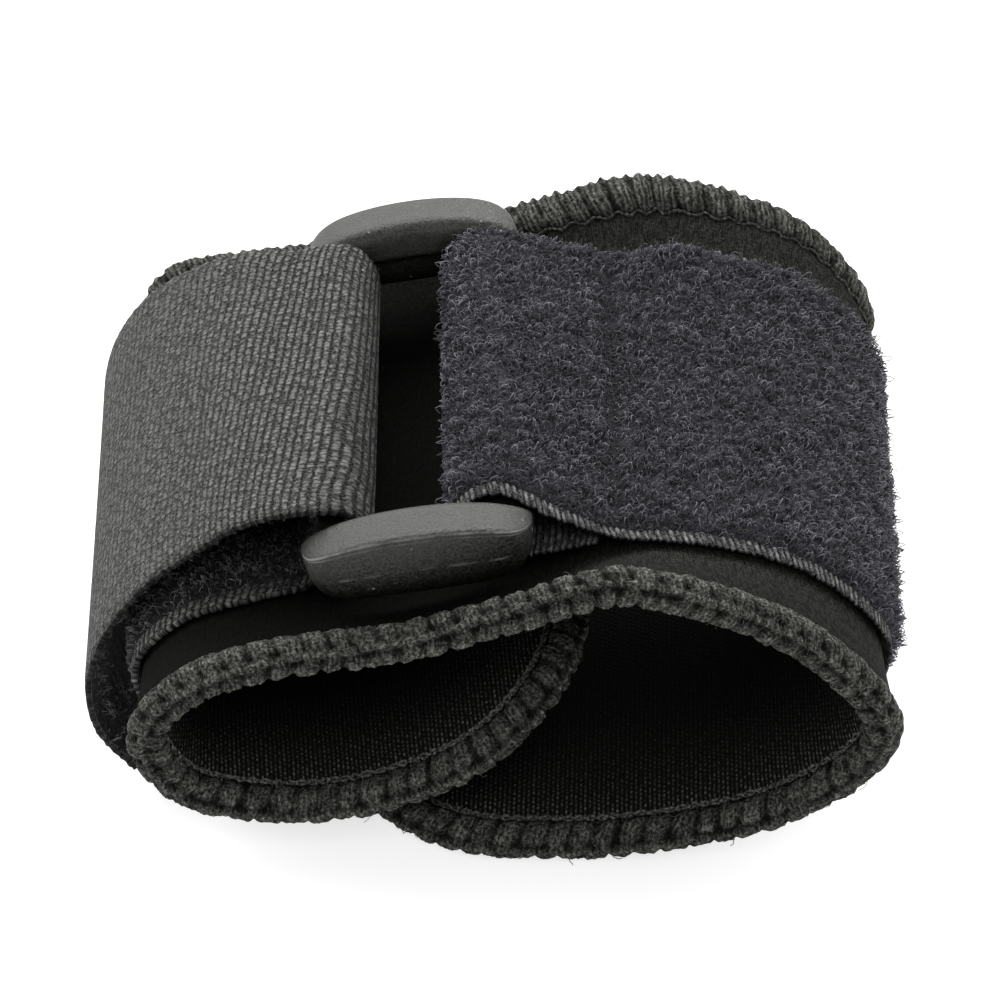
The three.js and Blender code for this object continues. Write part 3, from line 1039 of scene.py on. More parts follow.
@dataclass
class NeopreneBand:
    """The padded strip between its overlocked edges."""

    strip: CoiledStrip
    inset: float = 1.5
    rows: int = 250
    columns: int = 52
    crowding: float = 0.45
    edge_squeeze: float = 0.42
    squeezed: tuple[float, float] = (2.6, 5.4)
    # Spans and levels of the painted shade on the knit: past the ring, inside it, and along the front
    # margin.
    past_ring: tuple[float, float] = (0.47, 0.56)
    in_ring: tuple[float, float] = (0.62, 0.66)
    strap_edge: tuple[float, float] = (24.0, 29.0)
    front_margin: tuple[float, float] = (-31.0, -25.0)
    past_shade: float = 0.83
    ring_shade: float = 0.05
    front_shade: float = 0.36
    # The painted light on the lining: its level deep inside, the margin where it is full, and how fast
    # it fades to painted shade.
    faint: float = 0.02
    painted_light_margin: float = 4.0
    painted_light_fade: float = 5.5

    def grid(self) -> tuple[Array, Array]:
        """Spreads rows along the strip and columns across it, crowded towards the edges.

        Returns:
            Distances along and places across, both as (rows, columns).
        """

        def crowd(count: int) -> Array:
            """Returns shares that crowd towards both ends."""
            even = np.linspace(0, 1, count)
            return even + self.crowding * ((1 - np.cos(math.pi * even)) / 2 - even)

        length = self.strip.sheet.length
        distance = self.inset + crowd(self.rows) * (length - 2 * self.inset)
        radius = self.strip.corner_radius - self.inset
        from_end = np.minimum(np.minimum(distance, length - distance) - self.inset, radius)
        cut = np.sqrt(np.maximum(radius**2 - (radius - from_end) ** 2, 0))
        half = self.strip.width / 2 - self.inset - radius + cut
        across = half[:, None] * (2 * crowd(self.columns) - 1)[None, :]
        return np.broadcast_to(distance[:, None], across.shape), across

    def painted_knit_shade(self, share: Array, across: Array) -> Array:
        """Works out the knit's painted shade: full tone in the open, darker past the ring, darkest
        inside it, and darker along the front margin.

        Args:
            share: Shares of the strip's length.
            across: Places across it, from its middle.

        Returns:
            Tones from 0 to 1.
        """
        past = smoothstep(*self.past_ring, share)
        inside = past * (1 - smoothstep(*self.in_ring, share))
        inside = inside * (1 - smoothstep(*self.strap_edge, np.abs(across)))
        front = 1 - smoothstep(*self.front_margin, across)
        shaded = self.past_shade * past + self.ring_shade * inside
        return (1 - shaded) * (1 - self.front_shade * front)

    def painted_light(self, inward: Array) -> Array:
        """Returns how clearly the lining's stitches show: painted light along the edges, fading to
        painted shade inside.
        """
        beyond = np.maximum(inward - self.painted_light_margin, 0)
        return self.faint + (1 - self.faint) * np.exp(-beyond / self.painted_light_fade)

    def build(self) -> bpy.types.Object:
        """Builds the strip: an even wall that the edging squeezes along the outline.

        Returns:
            The band.
        """
        distance, across = self.grid()
        inward = self.strip.inward(distance, across)
        half = self.strip.wall / 2 - self.edge_squeeze * (1 - smoothstep(*self.squeezed, inward))
        share = distance / self.strip.sheet.length
        side = across / (self.strip.width / 2)
        draft = MeshDraft()
        uv = np.stack([distance, across], axis=-1)
        over = self.strip.sheet.at(share, side, half)
        under = self.strip.sheet.at(share, side, -half)
        draft.add_wall(over, under, uv, (0, 1, 0), (self.painted_knit_shade(share, across), self.painted_light(inward)))
        piece = draft.build("padded_band", [KnitFace().material(), LiningFace().material()])
        return settle(piece, "neoprene", "neoprene_band")


@dataclass
class OverlockEdge:
    """The overlocked edging of one side: a roll of bundled yarn, its fuzz and the needle lines."""

    strip: CoiledStrip
    side: Side
    pitch: float = 2.6
    rows_per_stitch: int = 14
    columns: int = 34
    wrap_radius: float = 1.5
    flat: float = 1.7
    nose: float = 0.35
    slant: float = 0.5
    scallop: float = 0.24
    end_gap: float = 0.3
    dip: float = 0.16
    lining_dip: float = 1.6
    unevenness: float = 0.16
    slit_depth: tuple[float, float] = (0.72, 0.28)
    slit_widths: tuple[float, float] = (0.12, 0.14)
    outer_swell: tuple[float, float] = (0.42, 0.44)
    inner_swell: tuple[float, float] = (0.48, 0.46)
    swell_power: float = 0.45
    purl: Ridge = Ridge(1.0, 0.475, 0.045)
    purl_lumps: tuple[float, float] = (0.5, 0.16)
    pit_width: float = 0.16
    outer_pit: Ridge = Ridge(0.32, 0.4, 0.045)
    inner_pit: Ridge = Ridge(0.36, 0.555, 0.045)
    groove: Ridge = Ridge(0.36, 0.93, 0.045)
    lump_height: float = 0.15
    grain_height: float = 0.1
    scalloped: float = 0.14
    # Slope and level of the painted shade that follows the roll's relief.
    relief_shade_slope: float = 2.0
    relief_shade_level: float = 0.27
    hairs: float = 5.0
    hair_steps: int = 4
    hair_radius: float = 0.042
    hair_reach: tuple[float, float] = (0.6, 1.5)
    hair_arch: tuple[float, float] = (0.05, 0.16)
    hair_sunk: float = 0.04
    hair_jitter: tuple[float, float] = (0.09, 0.01)
    loose_from: float = 0.95
    loose_lift: tuple[float, float] = (0.2, 0.7)
    needle_gap: float = 0.4
    needle_steps: int = 8
    needle_radius: float = 0.19
    needle_inward: float = 3.65
    needle_rise: float = 1.36
    needle_jitter: tuple[float, float] = (0.06, 0.04)
    chain_swing: float = 0.26
    chain_lift: float = 0.12
    front_fuzz: float = 0.52
    rear_fuzz: float = 0.36
    seed: int = 7
    outline: Outline = field(init=False)
    drift: Mottle = field(init=False)
    lumps: Mottle = field(init=False)
    grain: Mottle = field(init=False)
    depth: Mottle = field(init=False)

    def __post_init__(self) -> None:
        """Finds the edge and draws its random reliefs."""
        rng = np.random.default_rng(self.seed + 1 + self.side.value)
        self.outline = Outline(self.strip, self.side)
        extent = (self.outline.length, self.way())
        self.drift = Mottle(rng, extent, (4.1, 100.0))
        self.lumps = Mottle(rng, extent, (1.0, 0.85))
        self.grain = Mottle(rng, extent, (0.3, 0.3))
        self.depth = Mottle(rng, extent, (3.1, 4.2))

    def way(self) -> float:
        """Returns the length of the wrap from the outer needle line to the inner one."""
        return 2 * self.flat + math.pi * self.wrap_radius

    def section(self, share: Array, lift: Array) -> tuple[Array, Array]:
        """Follows the wrap: a flat from the needle line, half a circle round the edge, a flat back.

        Args:
            share: Share of the way from the outer needle line to the inner one.
            lift: Distance outwards from the wrap.

        Returns:
            Inward distances and rises.
        """
        radius = self.wrap_radius
        way = share * self.way()
        angle = np.clip((way - self.flat) / radius, 0, math.pi)
        before = np.maximum(self.flat - way, 0)
        after = np.maximum(way - self.flat - math.pi * radius, 0)
        inward = self.nose + radius - (radius + lift) * np.sin(angle) + before + after
        dip = self.dip * (before**2 - self.lining_dip * after**2) / self.flat
        return inward, (radius + lift) * np.cos(angle) - dip

    def stitch(self, run: Array, share: Array) -> Array:
        """Counts the stitches along the edge, a little uneven and leaning towards the nose."""
        lean = self.side.value * self.slant * (1 - np.abs(2 * share - 1))
        return run / self.pitch + self.unevenness * self.drift.at(run, 0 * share) - lean

    def relief(self, run: Array, share: Array) -> Array:
        """Returns how far the yarn stands out from the wrap.

        A bundle swells on each face between its needle line and the purl, with a slit to the next
        one, and the slits vary in depth. The purl is a row of lumps along the nose, with a pit at
        the end of each slit. On the lining face a groove runs between bundles and needle line.

        Args:
            run: Lengths along the edge.
            share: Shares of the way round it.

        Returns:
            Heights in millimetres.
        """
        count = self.stitch(run, share)
        way = share * self.way()
        deep = self.slit_depth[0] + self.slit_depth[1] * self.depth.at(run, way)

        def swell(size: tuple[float, float], place: Array) -> Array:
            """Returns a rounded swell from a height and the share of the way that it takes."""
            return size[0] * np.sin(math.pi * np.clip(place / size[1], 0, 1)) ** self.swell_power

        outer = swell(self.outer_swell, share) * (1 - deep * hollow(count, self.slit_widths[0]))
        inner = swell(self.inner_swell, 1 - share)
        inner = inner * (1 - deep * hollow(count + 0.5, self.slit_widths[1]))
        lumps = self.purl_lumps[0] + self.purl_lumps[1] * np.cos(4 * math.pi * count)
        purl = self.purl.over(share) * lumps
        outer_pits = deep * hollow(count, self.pit_width) * self.outer_pit.over(share)
        inner_pits = deep * hollow(count + 0.5, self.pit_width) * self.inner_pit.over(share)
        rough = self.lump_height * self.lumps.at(run, way) + self.grain_height * self.grain.at(run, way)
        return outer + inner + purl - outer_pits - inner_pits - self.groove.over(share) + rough

    def at(self, run: Array, share: Array, lift: Array) -> Array:
        """Places points over the wrap, with a scallop at the outer end of each bundle.

        Args:
            run: Lengths along the edge.
            share: Shares of the way round it.
            lift: Distances outwards from the wrap.

        Returns:
            Points of the broadcast shape.
        """
        inward, rise = self.section(share, lift)
        end = 1 - smoothstep(0.0, self.scalloped, share)
        wave = np.cos(2 * math.pi * (self.stitch(run, share) - 0.5))
        return self.outline.at(run, inward + self.scallop * end * wave, rise)

    def roll(self, draft: MeshDraft) -> None:
        """Adds the roll: the wrap's section carried along the edge, with its relief.

        Args:
            draft: The draft that takes it.
        """
        rows = int(self.outline.length / self.pitch * self.rows_per_stitch)
        run = np.linspace(self.end_gap, self.outline.length - self.end_gap, rows)[:, None]
        share = np.linspace(0, 1, self.columns)[None, :]
        run, share = np.broadcast_arrays(run, share)
        lift = self.relief(run, share)
        uv = np.stack([self.stitch(run, share) * self.pitch, share * self.way()], axis=-1)
        # Painted shade in the slits, pits and groove, painted light on the swells, from the yarn's
        # height.
        tone = np.clip(0.5 + self.relief_shade_slope * (lift - self.relief_shade_level), 0.0, 1.0)
        first = draft.add_points(self.at(run, share, lift), uv, tone)
        faces = grid_faces(rows, self.columns, closed=True)
        ring = np.arange(self.columns)[None, :]
        ends = np.concatenate([ring[:, ::-1], ring + (rows - 1) * self.columns])
        turned = slice(None) if self.side is Side.REAR else slice(None, None, -1)
        draft.add_faces(faces[:, turned] + first)
        draft.add_faces(ends[:, turned] + first)

    def fuzz(self, draft: MeshDraft, rng: np.random.Generator) -> None:
        """Adds fine fibres that lie on the roll, mostly along its bundles, a few standing off.

        Args:
            draft: The draft that takes them.
            rng: Source of the random draws.
        """
        steps = self.hair_steps
        count = int(self.outline.length * self.hairs)
        t = np.linspace(-0.5, 0.5, steps)[None, :]
        heading = rng.normal(0, 1.1, (count, 1))
        reach = rng.uniform(*self.hair_reach, (count, 1))
        run = rng.uniform(1.0, self.outline.length - 1.0, (count, 1)) + reach * t * np.sin(heading)
        run = run + rng.normal(0, self.hair_jitter[0], (count, steps))
        share = rng.uniform(0.03, 0.96, (count, 1)) + reach * t * np.cos(heading) / self.way()
        share = np.clip(share + rng.normal(0, self.hair_jitter[1], (count, steps)), 0.0, 1.0)
        arch = rng.uniform(*self.hair_arch, (count, 1)) * (1 - 4 * t**2) - self.hair_sunk
        loose = 1.0 * (rng.uniform(0, 1, (count, 1)) > self.loose_from)
        loose = loose * rng.uniform(*self.loose_lift, (count, 1)) * (t + 0.5)
        centres = self.at(run, share, self.relief(run, share) + arch + loose)
        chord = unit(centres[:, -1:] - centres[:, :1])
        away = unit(centres[:, 1:2] - self.at(run, share, np.full_like(run, -1.0))[:, 1:2])
        guides = np.broadcast_to(np.cross(chord, away), centres.shape)
        radius = self.hair_radius * rng.uniform(0.7, 1.3, (count, 1))
        draft.add_tubes(centres, guides, radius, 3, rng.uniform(0.35, 1.0, count), 1)

    def lines(self, draft: MeshDraft, rng: np.random.Generator) -> None:
        """Adds the needle threads: one line on the outer face and a chain of two on the lining.

        Args:
            draft: The draft that takes them.
            rng: Source of the random draws.
        """
        steps = int(self.outline.length / self.pitch) * self.needle_steps
        run = np.linspace(self.needle_gap, self.outline.length - self.needle_gap, steps)[None, :]
        beat = 2 * math.pi * (self.stitch(run, np.zeros_like(run)) - 0.5)
        face = np.array([[1.0], [-1.0], [-1.0]])
        swing = np.array([[self.scallop], [self.chain_swing], [-self.chain_swing]]) * np.cos(beat)
        inward = self.needle_inward + swing + rng.normal(0, self.needle_jitter[0], (3, steps))
        lift = np.array([[0.0], [self.chain_lift], [-self.chain_lift]]) * np.sin(beat)
        lift = lift + rng.normal(0, self.needle_jitter[1], (3, steps))
        rise = face * (self.needle_rise + lift)
        threads = self.outline.at(run, inward, rise)
        guides = self.outline.at(run, inward, rise + 1.0) - threads
        radius = self.needle_radius * rng.uniform(0.75, 1.25, (3, steps))
        draft.add_tubes(threads, guides, radius, 4, np.array([0.5, 1.0, 0.9]), 1)

    def build(self) -> bpy.types.Object:
        """Builds the edging of this side.

        Returns:
            The edging.
        """
        rng = np.random.default_rng(self.seed + 20 + self.side.value)
        draft = MeshDraft()
        self.roll(draft)
        self.fuzz(draft, rng)
        self.lines(draft, rng)
        name = self.side.name.lower()
        fuzz = self.front_fuzz if self.side is Side.FRONT else self.rear_fuzz
        wrap = OverlockYarn(f"{name}_wrap_yarn", (0.003, 0.0031, 0.0026), (0.22, 0.225, 0.198), fuzz)
        needle = OverlockYarn(f"{name}_needle_yarn", (0.012, 0.0124, 0.0105), (0.4, 0.407, 0.365))
        piece = draft.build(f"{name}_overlock", [wrap.material(), needle.material()])
        return settle(piece, "overlock", f"{name}_edging")


# The rail's section: shares of its width outwards and of its height upwards.
RAIL_SECTION = (
    (0, 0.56),
    (0.03, 0.52),
    (0.14, 0.485),
    (0.165, 0.45),
    (0.18, 0.14),
    (0.32, 0),
    (0.63, 0),
    (0.84, 0.09),
    (0.94, 0.25),
    (0.98, 0.4),
    (0.995, 0.5),
    (1, 0.58),
    (1, 0.74),
    (0.995, 0.84),
    (0.985, 0.9),
    (0.965, 0.955),
    (0.92, 0.99),
    (0.84, 1),
    (0.5, 1.01),
    (0.14, 1),
    (0, 0.88),
)


@dataclass
class RingBuckle:
    """The moulded ring: two arched rails and two bars."""

    centre: tuple[float, float, float] = (-11.55, 0.0, 33.2)
    tilt: float = 9.0
    yaw: float = 2.6
    half_length: float = 11.5
    inner_half: float = 24.0
    rail_width: float = 5.7
    rail_top: float = 3.5
    rail_bottom: float = -4.5
    rail_arch: float = 1.7
    rail_bow: float = 0.12
    plan_power: float = 10.0
    side_power: float = 6.0
    bar_reach: float = 8.5
    bar_drop: float = -0.85
    bar_width: float = 3.8
    bar_height: float = 3.9
    bar_rooting: float = 0.3
    bar_sides: int = 48
    bar_rows: int = 40
    parting: Ridge = Ridge(0.09, 0.5, 0.014)
    crests: tuple[Ridge, ...] = (Ridge(0.14, 0.965, 0.012), Ridge(0.07, 0.915, 0.011))
    # Painted highlight on the raised lines: its level, and how much it grows towards the ends.
    crest_highlight: tuple[float, float] = (0.45, 0.75)
    closing: float = 0.9995
    stations: int = 80
    per_span: int = 5
    # Painted light on the upper inner faces of the rails.
    inner_painted_light: float = 0.25

    def placed(self, points: Array) -> Array:
        """Tilts and yaws points of the ring and moves them to its place in the wrap.

        Args:
            points: Points as (..., 3) about the ring's own middle.

        Returns:
            The points in the frame.
        """
        tilt, yaw = math.radians(self.tilt), math.radians(self.yaw)
        cosine, sine = math.cos(tilt), math.sin(tilt)
        about_y = np.array([[cosine, 0, -sine], [0, 1, 0], [sine, 0, cosine]])
        cosine, sine = math.cos(yaw), math.sin(yaw)
        about_z = np.array([[cosine, -sine, 0], [sine, cosine, 0], [0, 0, 1]])
        return points @ (about_z @ about_y).T + np.array(self.centre) - FOOT

    def bar_middle(self, side: int, across: Array) -> Array:
        """Returns the middle of a bar, left for -1 and right for 1, at places across the ring."""
        reach = np.full_like(across, side * self.bar_reach)
        return self.placed(np.stack([reach, across, np.full_like(across, self.bar_drop)], axis=-1))

    def profile(self) -> tuple[Array, Array, Array, Array]:
        """Rounds the rail's section and raises its parting line and its crest lines.

        Returns:
            Shares of the width outwards and of the height upwards, and the two reliefs.
        """
        size = np.array([self.rail_width, self.rail_top - self.rail_bottom])
        rows = np.array(RAIL_SECTION)
        rows = np.concatenate([rows, rows[:1]])[:, None, :] * size
        out, up = (spline(rows, self.per_span)[:-1, 0] / size).T
        outer = smoothstep(0.6, 0.75, out)
        crest = sum(ridge.over(up) for ridge in self.crests) * outer
        return out, up, self.parting.over(up) * outer, crest

    def rail(self, draft: MeshDraft, side: int) -> None:
        """Adds one rail: the section carried along the ring, bulging in plan and arched on top.

        Args:
            draft: The draft that takes it.
            side: -1 for the front rail and 1 for the rear one.
        """
        turn = np.linspace(-math.pi / 2, math.pi / 2, self.stations)[:, None] * self.closing
        share = np.sin(turn)
        bulge = (1 - self.rail_bow * share**2) * np.sqrt(1 - share**self.plan_power)
        close = np.sqrt(1 - share**self.side_power)
        out, up, parting, crest = (row[None, :] for row in self.profile())
        # A random mottle that breaks the parting line, and with it the painted highlight along it.
        painted_light = Mottle(np.random.default_rng(3 + side), (2 * self.half_length, 1.0), (1.4, 1.0))
        broken = smoothstep(-0.3, 0.5, painted_light.at((share + 1) * self.half_length, 0 * share))
        relief = crest + parting * broken
        bottom = self.rail_bottom * close
        top = (self.rail_top - self.rail_arch * share**2) * close
        y = side * (self.inner_half + out * self.rail_width * bulge + relief * bulge)
        z = bottom + (top - bottom) * up
        x = np.broadcast_to(share * self.half_length, y.shape)
        points = self.placed(np.stack([x, y, z], axis=-1))
        inner = (1 - smoothstep(0.02, 0.12, out)) * smoothstep(0.5, 0.58, up)
        inner = inner * (1 - smoothstep(0.9, 0.97, up))
        # Painted highlight on the raised lines, stronger towards the ends, and painted light on the
        # upper inner faces.
        end_highlight = self.crest_highlight[0] + self.crest_highlight[1] * share**2
        painted_light_mask = np.clip(relief / self.parting.height, 0, 1) * end_highlight
        tone = np.maximum(painted_light_mask, self.inner_painted_light * inner)
        first = draft.add_points(points, np.stack([x, z], axis=-1), tone)
        faces = grid_faces(*y.shape, closed=True)
        draft.add_faces((faces if side < 0 else faces[:, ::-1]) + first)
        columns = y.shape[1]
        ring = np.arange(columns)[None, :]
        last = (self.stations - 1) * columns
        ends = np.concatenate([ring[:, ::-1], ring + last])
        draft.add_faces((ends if side < 0 else ends[:, ::-1]) + first)

    def bar(self, draft: MeshDraft, side: int) -> None:
        """Adds one bar: a rounded square carried from rail to rail.

        Args:
            draft: The draft that takes it.
            side: -1 for the left bar and 1 for the right one.
        """
        turn = np.linspace(0, 2 * math.pi, self.bar_sides, endpoint=False)

        def filled(value: Array) -> Array:
            """Returns the root with its sign, which fills a circle out to a rounded square."""
            return np.sign(value) * np.sqrt(np.abs(value))

        reach = self.inner_half + self.bar_rooting * self.rail_width
        y = np.linspace(-reach, reach, self.bar_rows)[:, None]
        x = side * self.bar_reach + filled(np.cos(turn))[None, :] * self.bar_width / 2
        z = self.bar_drop + filled(np.sin(turn))[None, :] * self.bar_height / 2
        local = np.stack(np.broadcast_arrays(x, y, z), axis=-1)
        first = draft.add_points(self.placed(local), local[..., :2], 0.0)
        draft.add_faces(grid_faces(self.bar_rows, self.bar_sides, closed=True) + first)
        ring = np.arange(self.bar_sides)[None, :]
        last = (self.bar_rows - 1) * self.bar_sides
        draft.add_faces(np.concatenate([ring[:, ::-1], ring + last]) + first)

    def build(self) -> bpy.types.Object:
        """Builds the ring.

        Returns:
            The ring.
        """
        draft = MeshDraft()
        for side in (-1, 1):
            self.rail(draft, side)
            self.bar(draft, side)
        piece = draft.build("moulded_ring", [MouldedPlastic().material()])
        return settle(piece, "plastic", "ring_buckle")


@dataclass
class Pile:
    """A looped pile on one face of a strap."""

    face: Face
    base: float
    depth: float
    density: float
    proud: tuple[float, float]
    selvage: tuple[float, float]
    fibre: bpy.types.Material
    fleece: bpy.types.Material
    seams: tuple[float, ...] = ()
    cell: float = 0.8
    fringe: float = 100.0
    bend: tuple[float, float] = (0.4, 0.9)
    sweep: tuple[float, float] = (0.4, 1.0)
    overhang: float = 0.4
    thickness: tuple[float, float] = (0.038, 0.068)
    steps: int = 5
    lump_cell: float = 1.6
    lumpiness: float = 0.3
    shoulder: tuple[float, float] = (-0.1, 1.3)
    sunk: float = 0.12
    margin: float = 0.2
    scatter: float = 0.5
    stray_from: float = 0.95
    stray_lift: float = 0.7
    tilt: float = 0.18
    ends_down: float = 1.15
    tones: tuple[float, float] = (0.8, 1.25)
    # Painted shade on the fibres: its level, and how much it follows the lumps of the ground.
    lit: tuple[float, float] = (0.8, 0.45)
    seam_width: float = 0.75
    seam_press: float = 0.95
    seam_flatten: float = 0.85
    seam_shade: float = 0.75


@dataclass
class Strap:
    """A woven strap that follows a path on the band, round the ring and back."""

    strip: CoiledStrip
    ring: RingBuckle
    name: str
    node: str
    width: float
    thickness: float
    fold_share: float
    fold_front: float
    fold_rear: float
    columns: int = 49
    steps: int = 1400
    per_span: int = 40
    front_spread: float = 0.1
    rear_spread: float = 0.1
    rear_lift: float = 0.0
    lift_share: float = 0.5
    lift_spread: float = 0.1
    rib: float = 0.84
    bead: float = 0.6
    rows_per_rib: int = 5
    crowding: float = 0.6
    back_rib: float = 0.4
    rib_waves: tuple[tuple[float, float, float], ...] = ((0.06, 0.31, 0.17), (0.05, 0.47, -0.11))
    rib_slant: float = 0.1
    rib_lean: float = 0.0
    rib_turn: float = 0.14
    tooth: float = 0.02
    tooth_power: int = 12
    fray: float = 0.14
    fray_cell: float = 0.34
    selvage: float = 2.2
    selvage_from: tuple[float, float] = (0.93, 0.98)
    selvage_smooth: float = 0.7
    edge_from: float = 0.985
    edge_thin: float = 0.35
    # Share up to which the rim keeps the tape's own finish; past it the rim takes a darker copy, a
    # painted shade on the edges.
    unshaded_rim_until: float = 0.0
    sheet: Sheet = field(init=False)

    def rows(self, across: Array) -> Array:
        """Returns the path's rows of points, one column for each place across."""
        raise NotImplementedError

    def __post_init__(self) -> None:
        """Lays out the sheet along the path, drawn in by the ring."""
        across = np.linspace(-self.width / 2, self.width / 2, self.columns)
        curve = spline(self.rows(across), self.per_span)
        sheet = Sheet(curve, curve, self.width / 2, self.steps)
        share = np.linspace(0, 1, self.steps)[:, None]
        side = across / (self.width / 2)
        near = hill(share, self.fold_share, np.where(side < 0, self.front_spread, self.rear_spread))
        pinch = np.where(side < 0, self.fold_front, self.fold_rear) * side
        sheet.points[..., 1] -= pinch * near
        lift = self.rear_lift * hill(share, self.lift_share, self.lift_spread)
        sheet.points[..., 2] += lift * np.maximum(side, 0) ** 2
        self.sheet = sheet

    def on_band(self, share: Array, across: Array, layer: float = 0.0) -> Array:
        """Returns rows of points on the band's outside, raised by layers of strap."""
        rise = self.strip.wall / 2 + GAP + self.thickness / 2 + layer * (self.thickness + GAP)
        return self.strip.sheet.at(share[:, None], across / (self.strip.width / 2), rise)

    def fold(self, offsets: tuple[tuple[float, float, float], ...], side: int, across: Array) -> Array:
        """Leads the strap round a bar of the ring.

        Args:
            offsets: X at the front edge, X at the rear edge and Z, from the bar's middle.
            side: -1 for the left bar and 1 for the right one.
            across: Places across the strap.

        Returns:
            Rows of points.
        """
        middle = self.ring.bar_middle(side, across)
        middle[:, 1] = across
        front, rear, rise = np.array(offsets).T[:, :, None]
        x = front + (rear - front) * (across / self.width + 0.5)
        return middle[None] + np.stack(np.broadcast_arrays(x, 0.0, rise), axis=-1)

    def tape(self, over: float, under: float, rib: float, columns: int) -> MeshDraft:
        """Lays the woven tape as a thin wall with ribs across it and a serrated selvage.

        Args:
            over: Rise of the face on the normals' side.
            under: Rise of the other face, which has smaller ribs.
            rib: Height of the ribs.
            columns: Points across the tape.

        Returns:
            A draft that holds the tape.
        """
        length, half = self.sheet.length, self.sheet.half_width
        rows = int(length / self.rib * self.rows_per_rib)
        along = np.linspace(0, length, rows)[:, None]
        even = np.linspace(-1, 1, columns)[None, :]
        side = self.crowding * np.sin(even * math.pi / 2) + (1 - self.crowding) * even
        across = side * half
        share = np.broadcast_to(along / length, (rows, columns))
        wobble = sum(high * np.sin(a * across + b * along) for high, a, b in self.rib_waves)
        wobble = wobble + self.rib_slant * np.maximum(np.abs(across) - half + self.selvage, 0)
        turned = smoothstep(self.fold_share, self.fold_share + self.rib_turn, share)
        wobble = wobble + self.rib_lean * across * turned
        ribs = np.cos(2 * math.pi * (along + wobble) / self.rib)
        frayed = Mottle(np.random.default_rng(5), (length, 2.0), (self.fray_cell, 1.0))
        tooth = self.tooth * ribs + self.fray * frayed.at(along, 1.0 * (side > 0))
        wide = side * (1 + tooth * np.abs(side) ** self.tooth_power / half)
        clear = self.rib_clarity(share)
        smooth = self.selvage_smooth * smoothstep(*self.selvage_from, np.abs(side))
        relief = rib * ribs * clear * (1 - smooth)
        thin = self.edge_thin * smoothstep(self.edge_from, 1.0, np.abs(side)) * (over - under) / 2
        top = self.sheet.at(share, wide, over + relief - thin)
        bottom = self.sheet.at(share, wide, under - self.back_rib * relief + thin)
        uv = np.stack(np.broadcast_arrays(along + wobble, across), axis=-1)
        # Rows past this share give the rim the darker copy of the tape: painted shade on its edges.
        rim = (share[:, 0] > self.unshaded_rim_until).astype(int)
        draft = MeshDraft()
        draft.add_wall(top, bottom, uv, (0, 0, rim), (clear, clear))
        return draft

    def rib_clarity(self, share: Array) -> Array:
        """Returns how clearly the ribs show along the strap, from 0 to 1."""
        return np.ones_like(share)

    def pile(self, pile: Pile, span: tuple[float, float], seed: int, name: str) -> bpy.types.Object:
        """Covers part of a face with a fleece ground and curled loops of fibre.

        Each loop is an arc of a circle that lies over the ground, with its ends sunk into it.

        Args:
            pile: The pile's sizes and finishes.
            span: Shares of the length where the pile starts and ends.
            seed: Seed of the random draws.
            name: The piece's name.

        Returns:
            The pile as one object.
        """
        rng = np.random.default_rng(seed)
        draft = MeshDraft()
        length, half = self.sheet.length, self.sheet.half_width
        start, stop = span[0] * length, span[1] * length
        first, last = pile.selvage[0] - half, half - pile.selvage[1]
        lumps = Mottle(rng, (length, self.width), (pile.lump_cell, pile.lump_cell))

        def sewn(along: Array) -> Array:
            """Returns how near a place is to a seam, from 0 to 1."""
            near = (hill(along, seam * length, pile.seam_width) for seam in pile.seams)
            return sum(near, np.zeros_like(along))

        def ground(along: Array, across: Array) -> Array:
            """Works out the fleece's height: thin at the selvages and in the seams.

            Args:
                along: Places along the strap.
                across: Places across it.

            Returns:
                Heights over the tape's face.
            """
            inside = np.minimum(across - first, last - across)
            lumpy = 1 + pile.lumpiness * lumps.at(along, across + half)
            full = pile.depth * smoothstep(*pile.shoulder, inside) * lumpy
            return full * (1 - pile.seam_press * sewn(along))

        def raised(along: Array, across: Array, height: Array) -> Array:
            """Returns points at a height over the tape's face."""
            return self.sheet.at(along / length, across / half, pile.face.value * (pile.base + height))

        along = np.linspace(start, stop, int((stop - start) / pile.cell))[:, None]
        columns = int((last - first) / pile.cell)
        across = np.linspace(first - pile.margin, last + pile.margin, columns)[None, :]
        along, across = np.broadcast_arrays(along, across)
        uv = np.stack([along, across], axis=-1)
        upper = raised(along, across, ground(along, across))
        lower = raised(along, across, np.full(along.shape, -pile.sunk))
        # Painted shade on the fleece in the seams.
        shade = 1 - pile.seam_shade * sewn(along)
        walls = (upper, lower) if pile.face is Face.OVER else (lower, upper)
        draft.add_wall(*walls, uv, (1, 1, 1), (shade, shade))

        fringe = min(pile.fringe, (last - first) / 2)
        count = int((stop - start) * 2 * fringe * pile.density)
        root = rng.uniform(start, stop, (count, 1))
        aside = rng.uniform(-fringe, fringe, (count, 1))
        aside = np.where(aside < 0, first - aside, last - aside)
        aside = aside + rng.normal(0, pile.scatter, (count, 1))
        t = np.linspace(-1, 1, pile.steps)[None, :]
        angle = rng.uniform(0, 2 * math.pi, (count, 1)) + rng.uniform(*pile.sweep, (count, 1)) * t
        bend = rng.uniform(*pile.bend, (count, 1))
        along = root + bend * np.cos(angle)
        across = aside + bend * np.sin(angle)
        across = np.clip(across, first - pile.overhang, last + pile.overhang)
        proud = rng.uniform(*pile.proud, (count, 1))
        proud = proud + (rng.uniform(0, 1, (count, 1)) > pile.stray_from) * pile.stray_lift
        proud = proud * (1 - pile.seam_flatten * sewn(root))
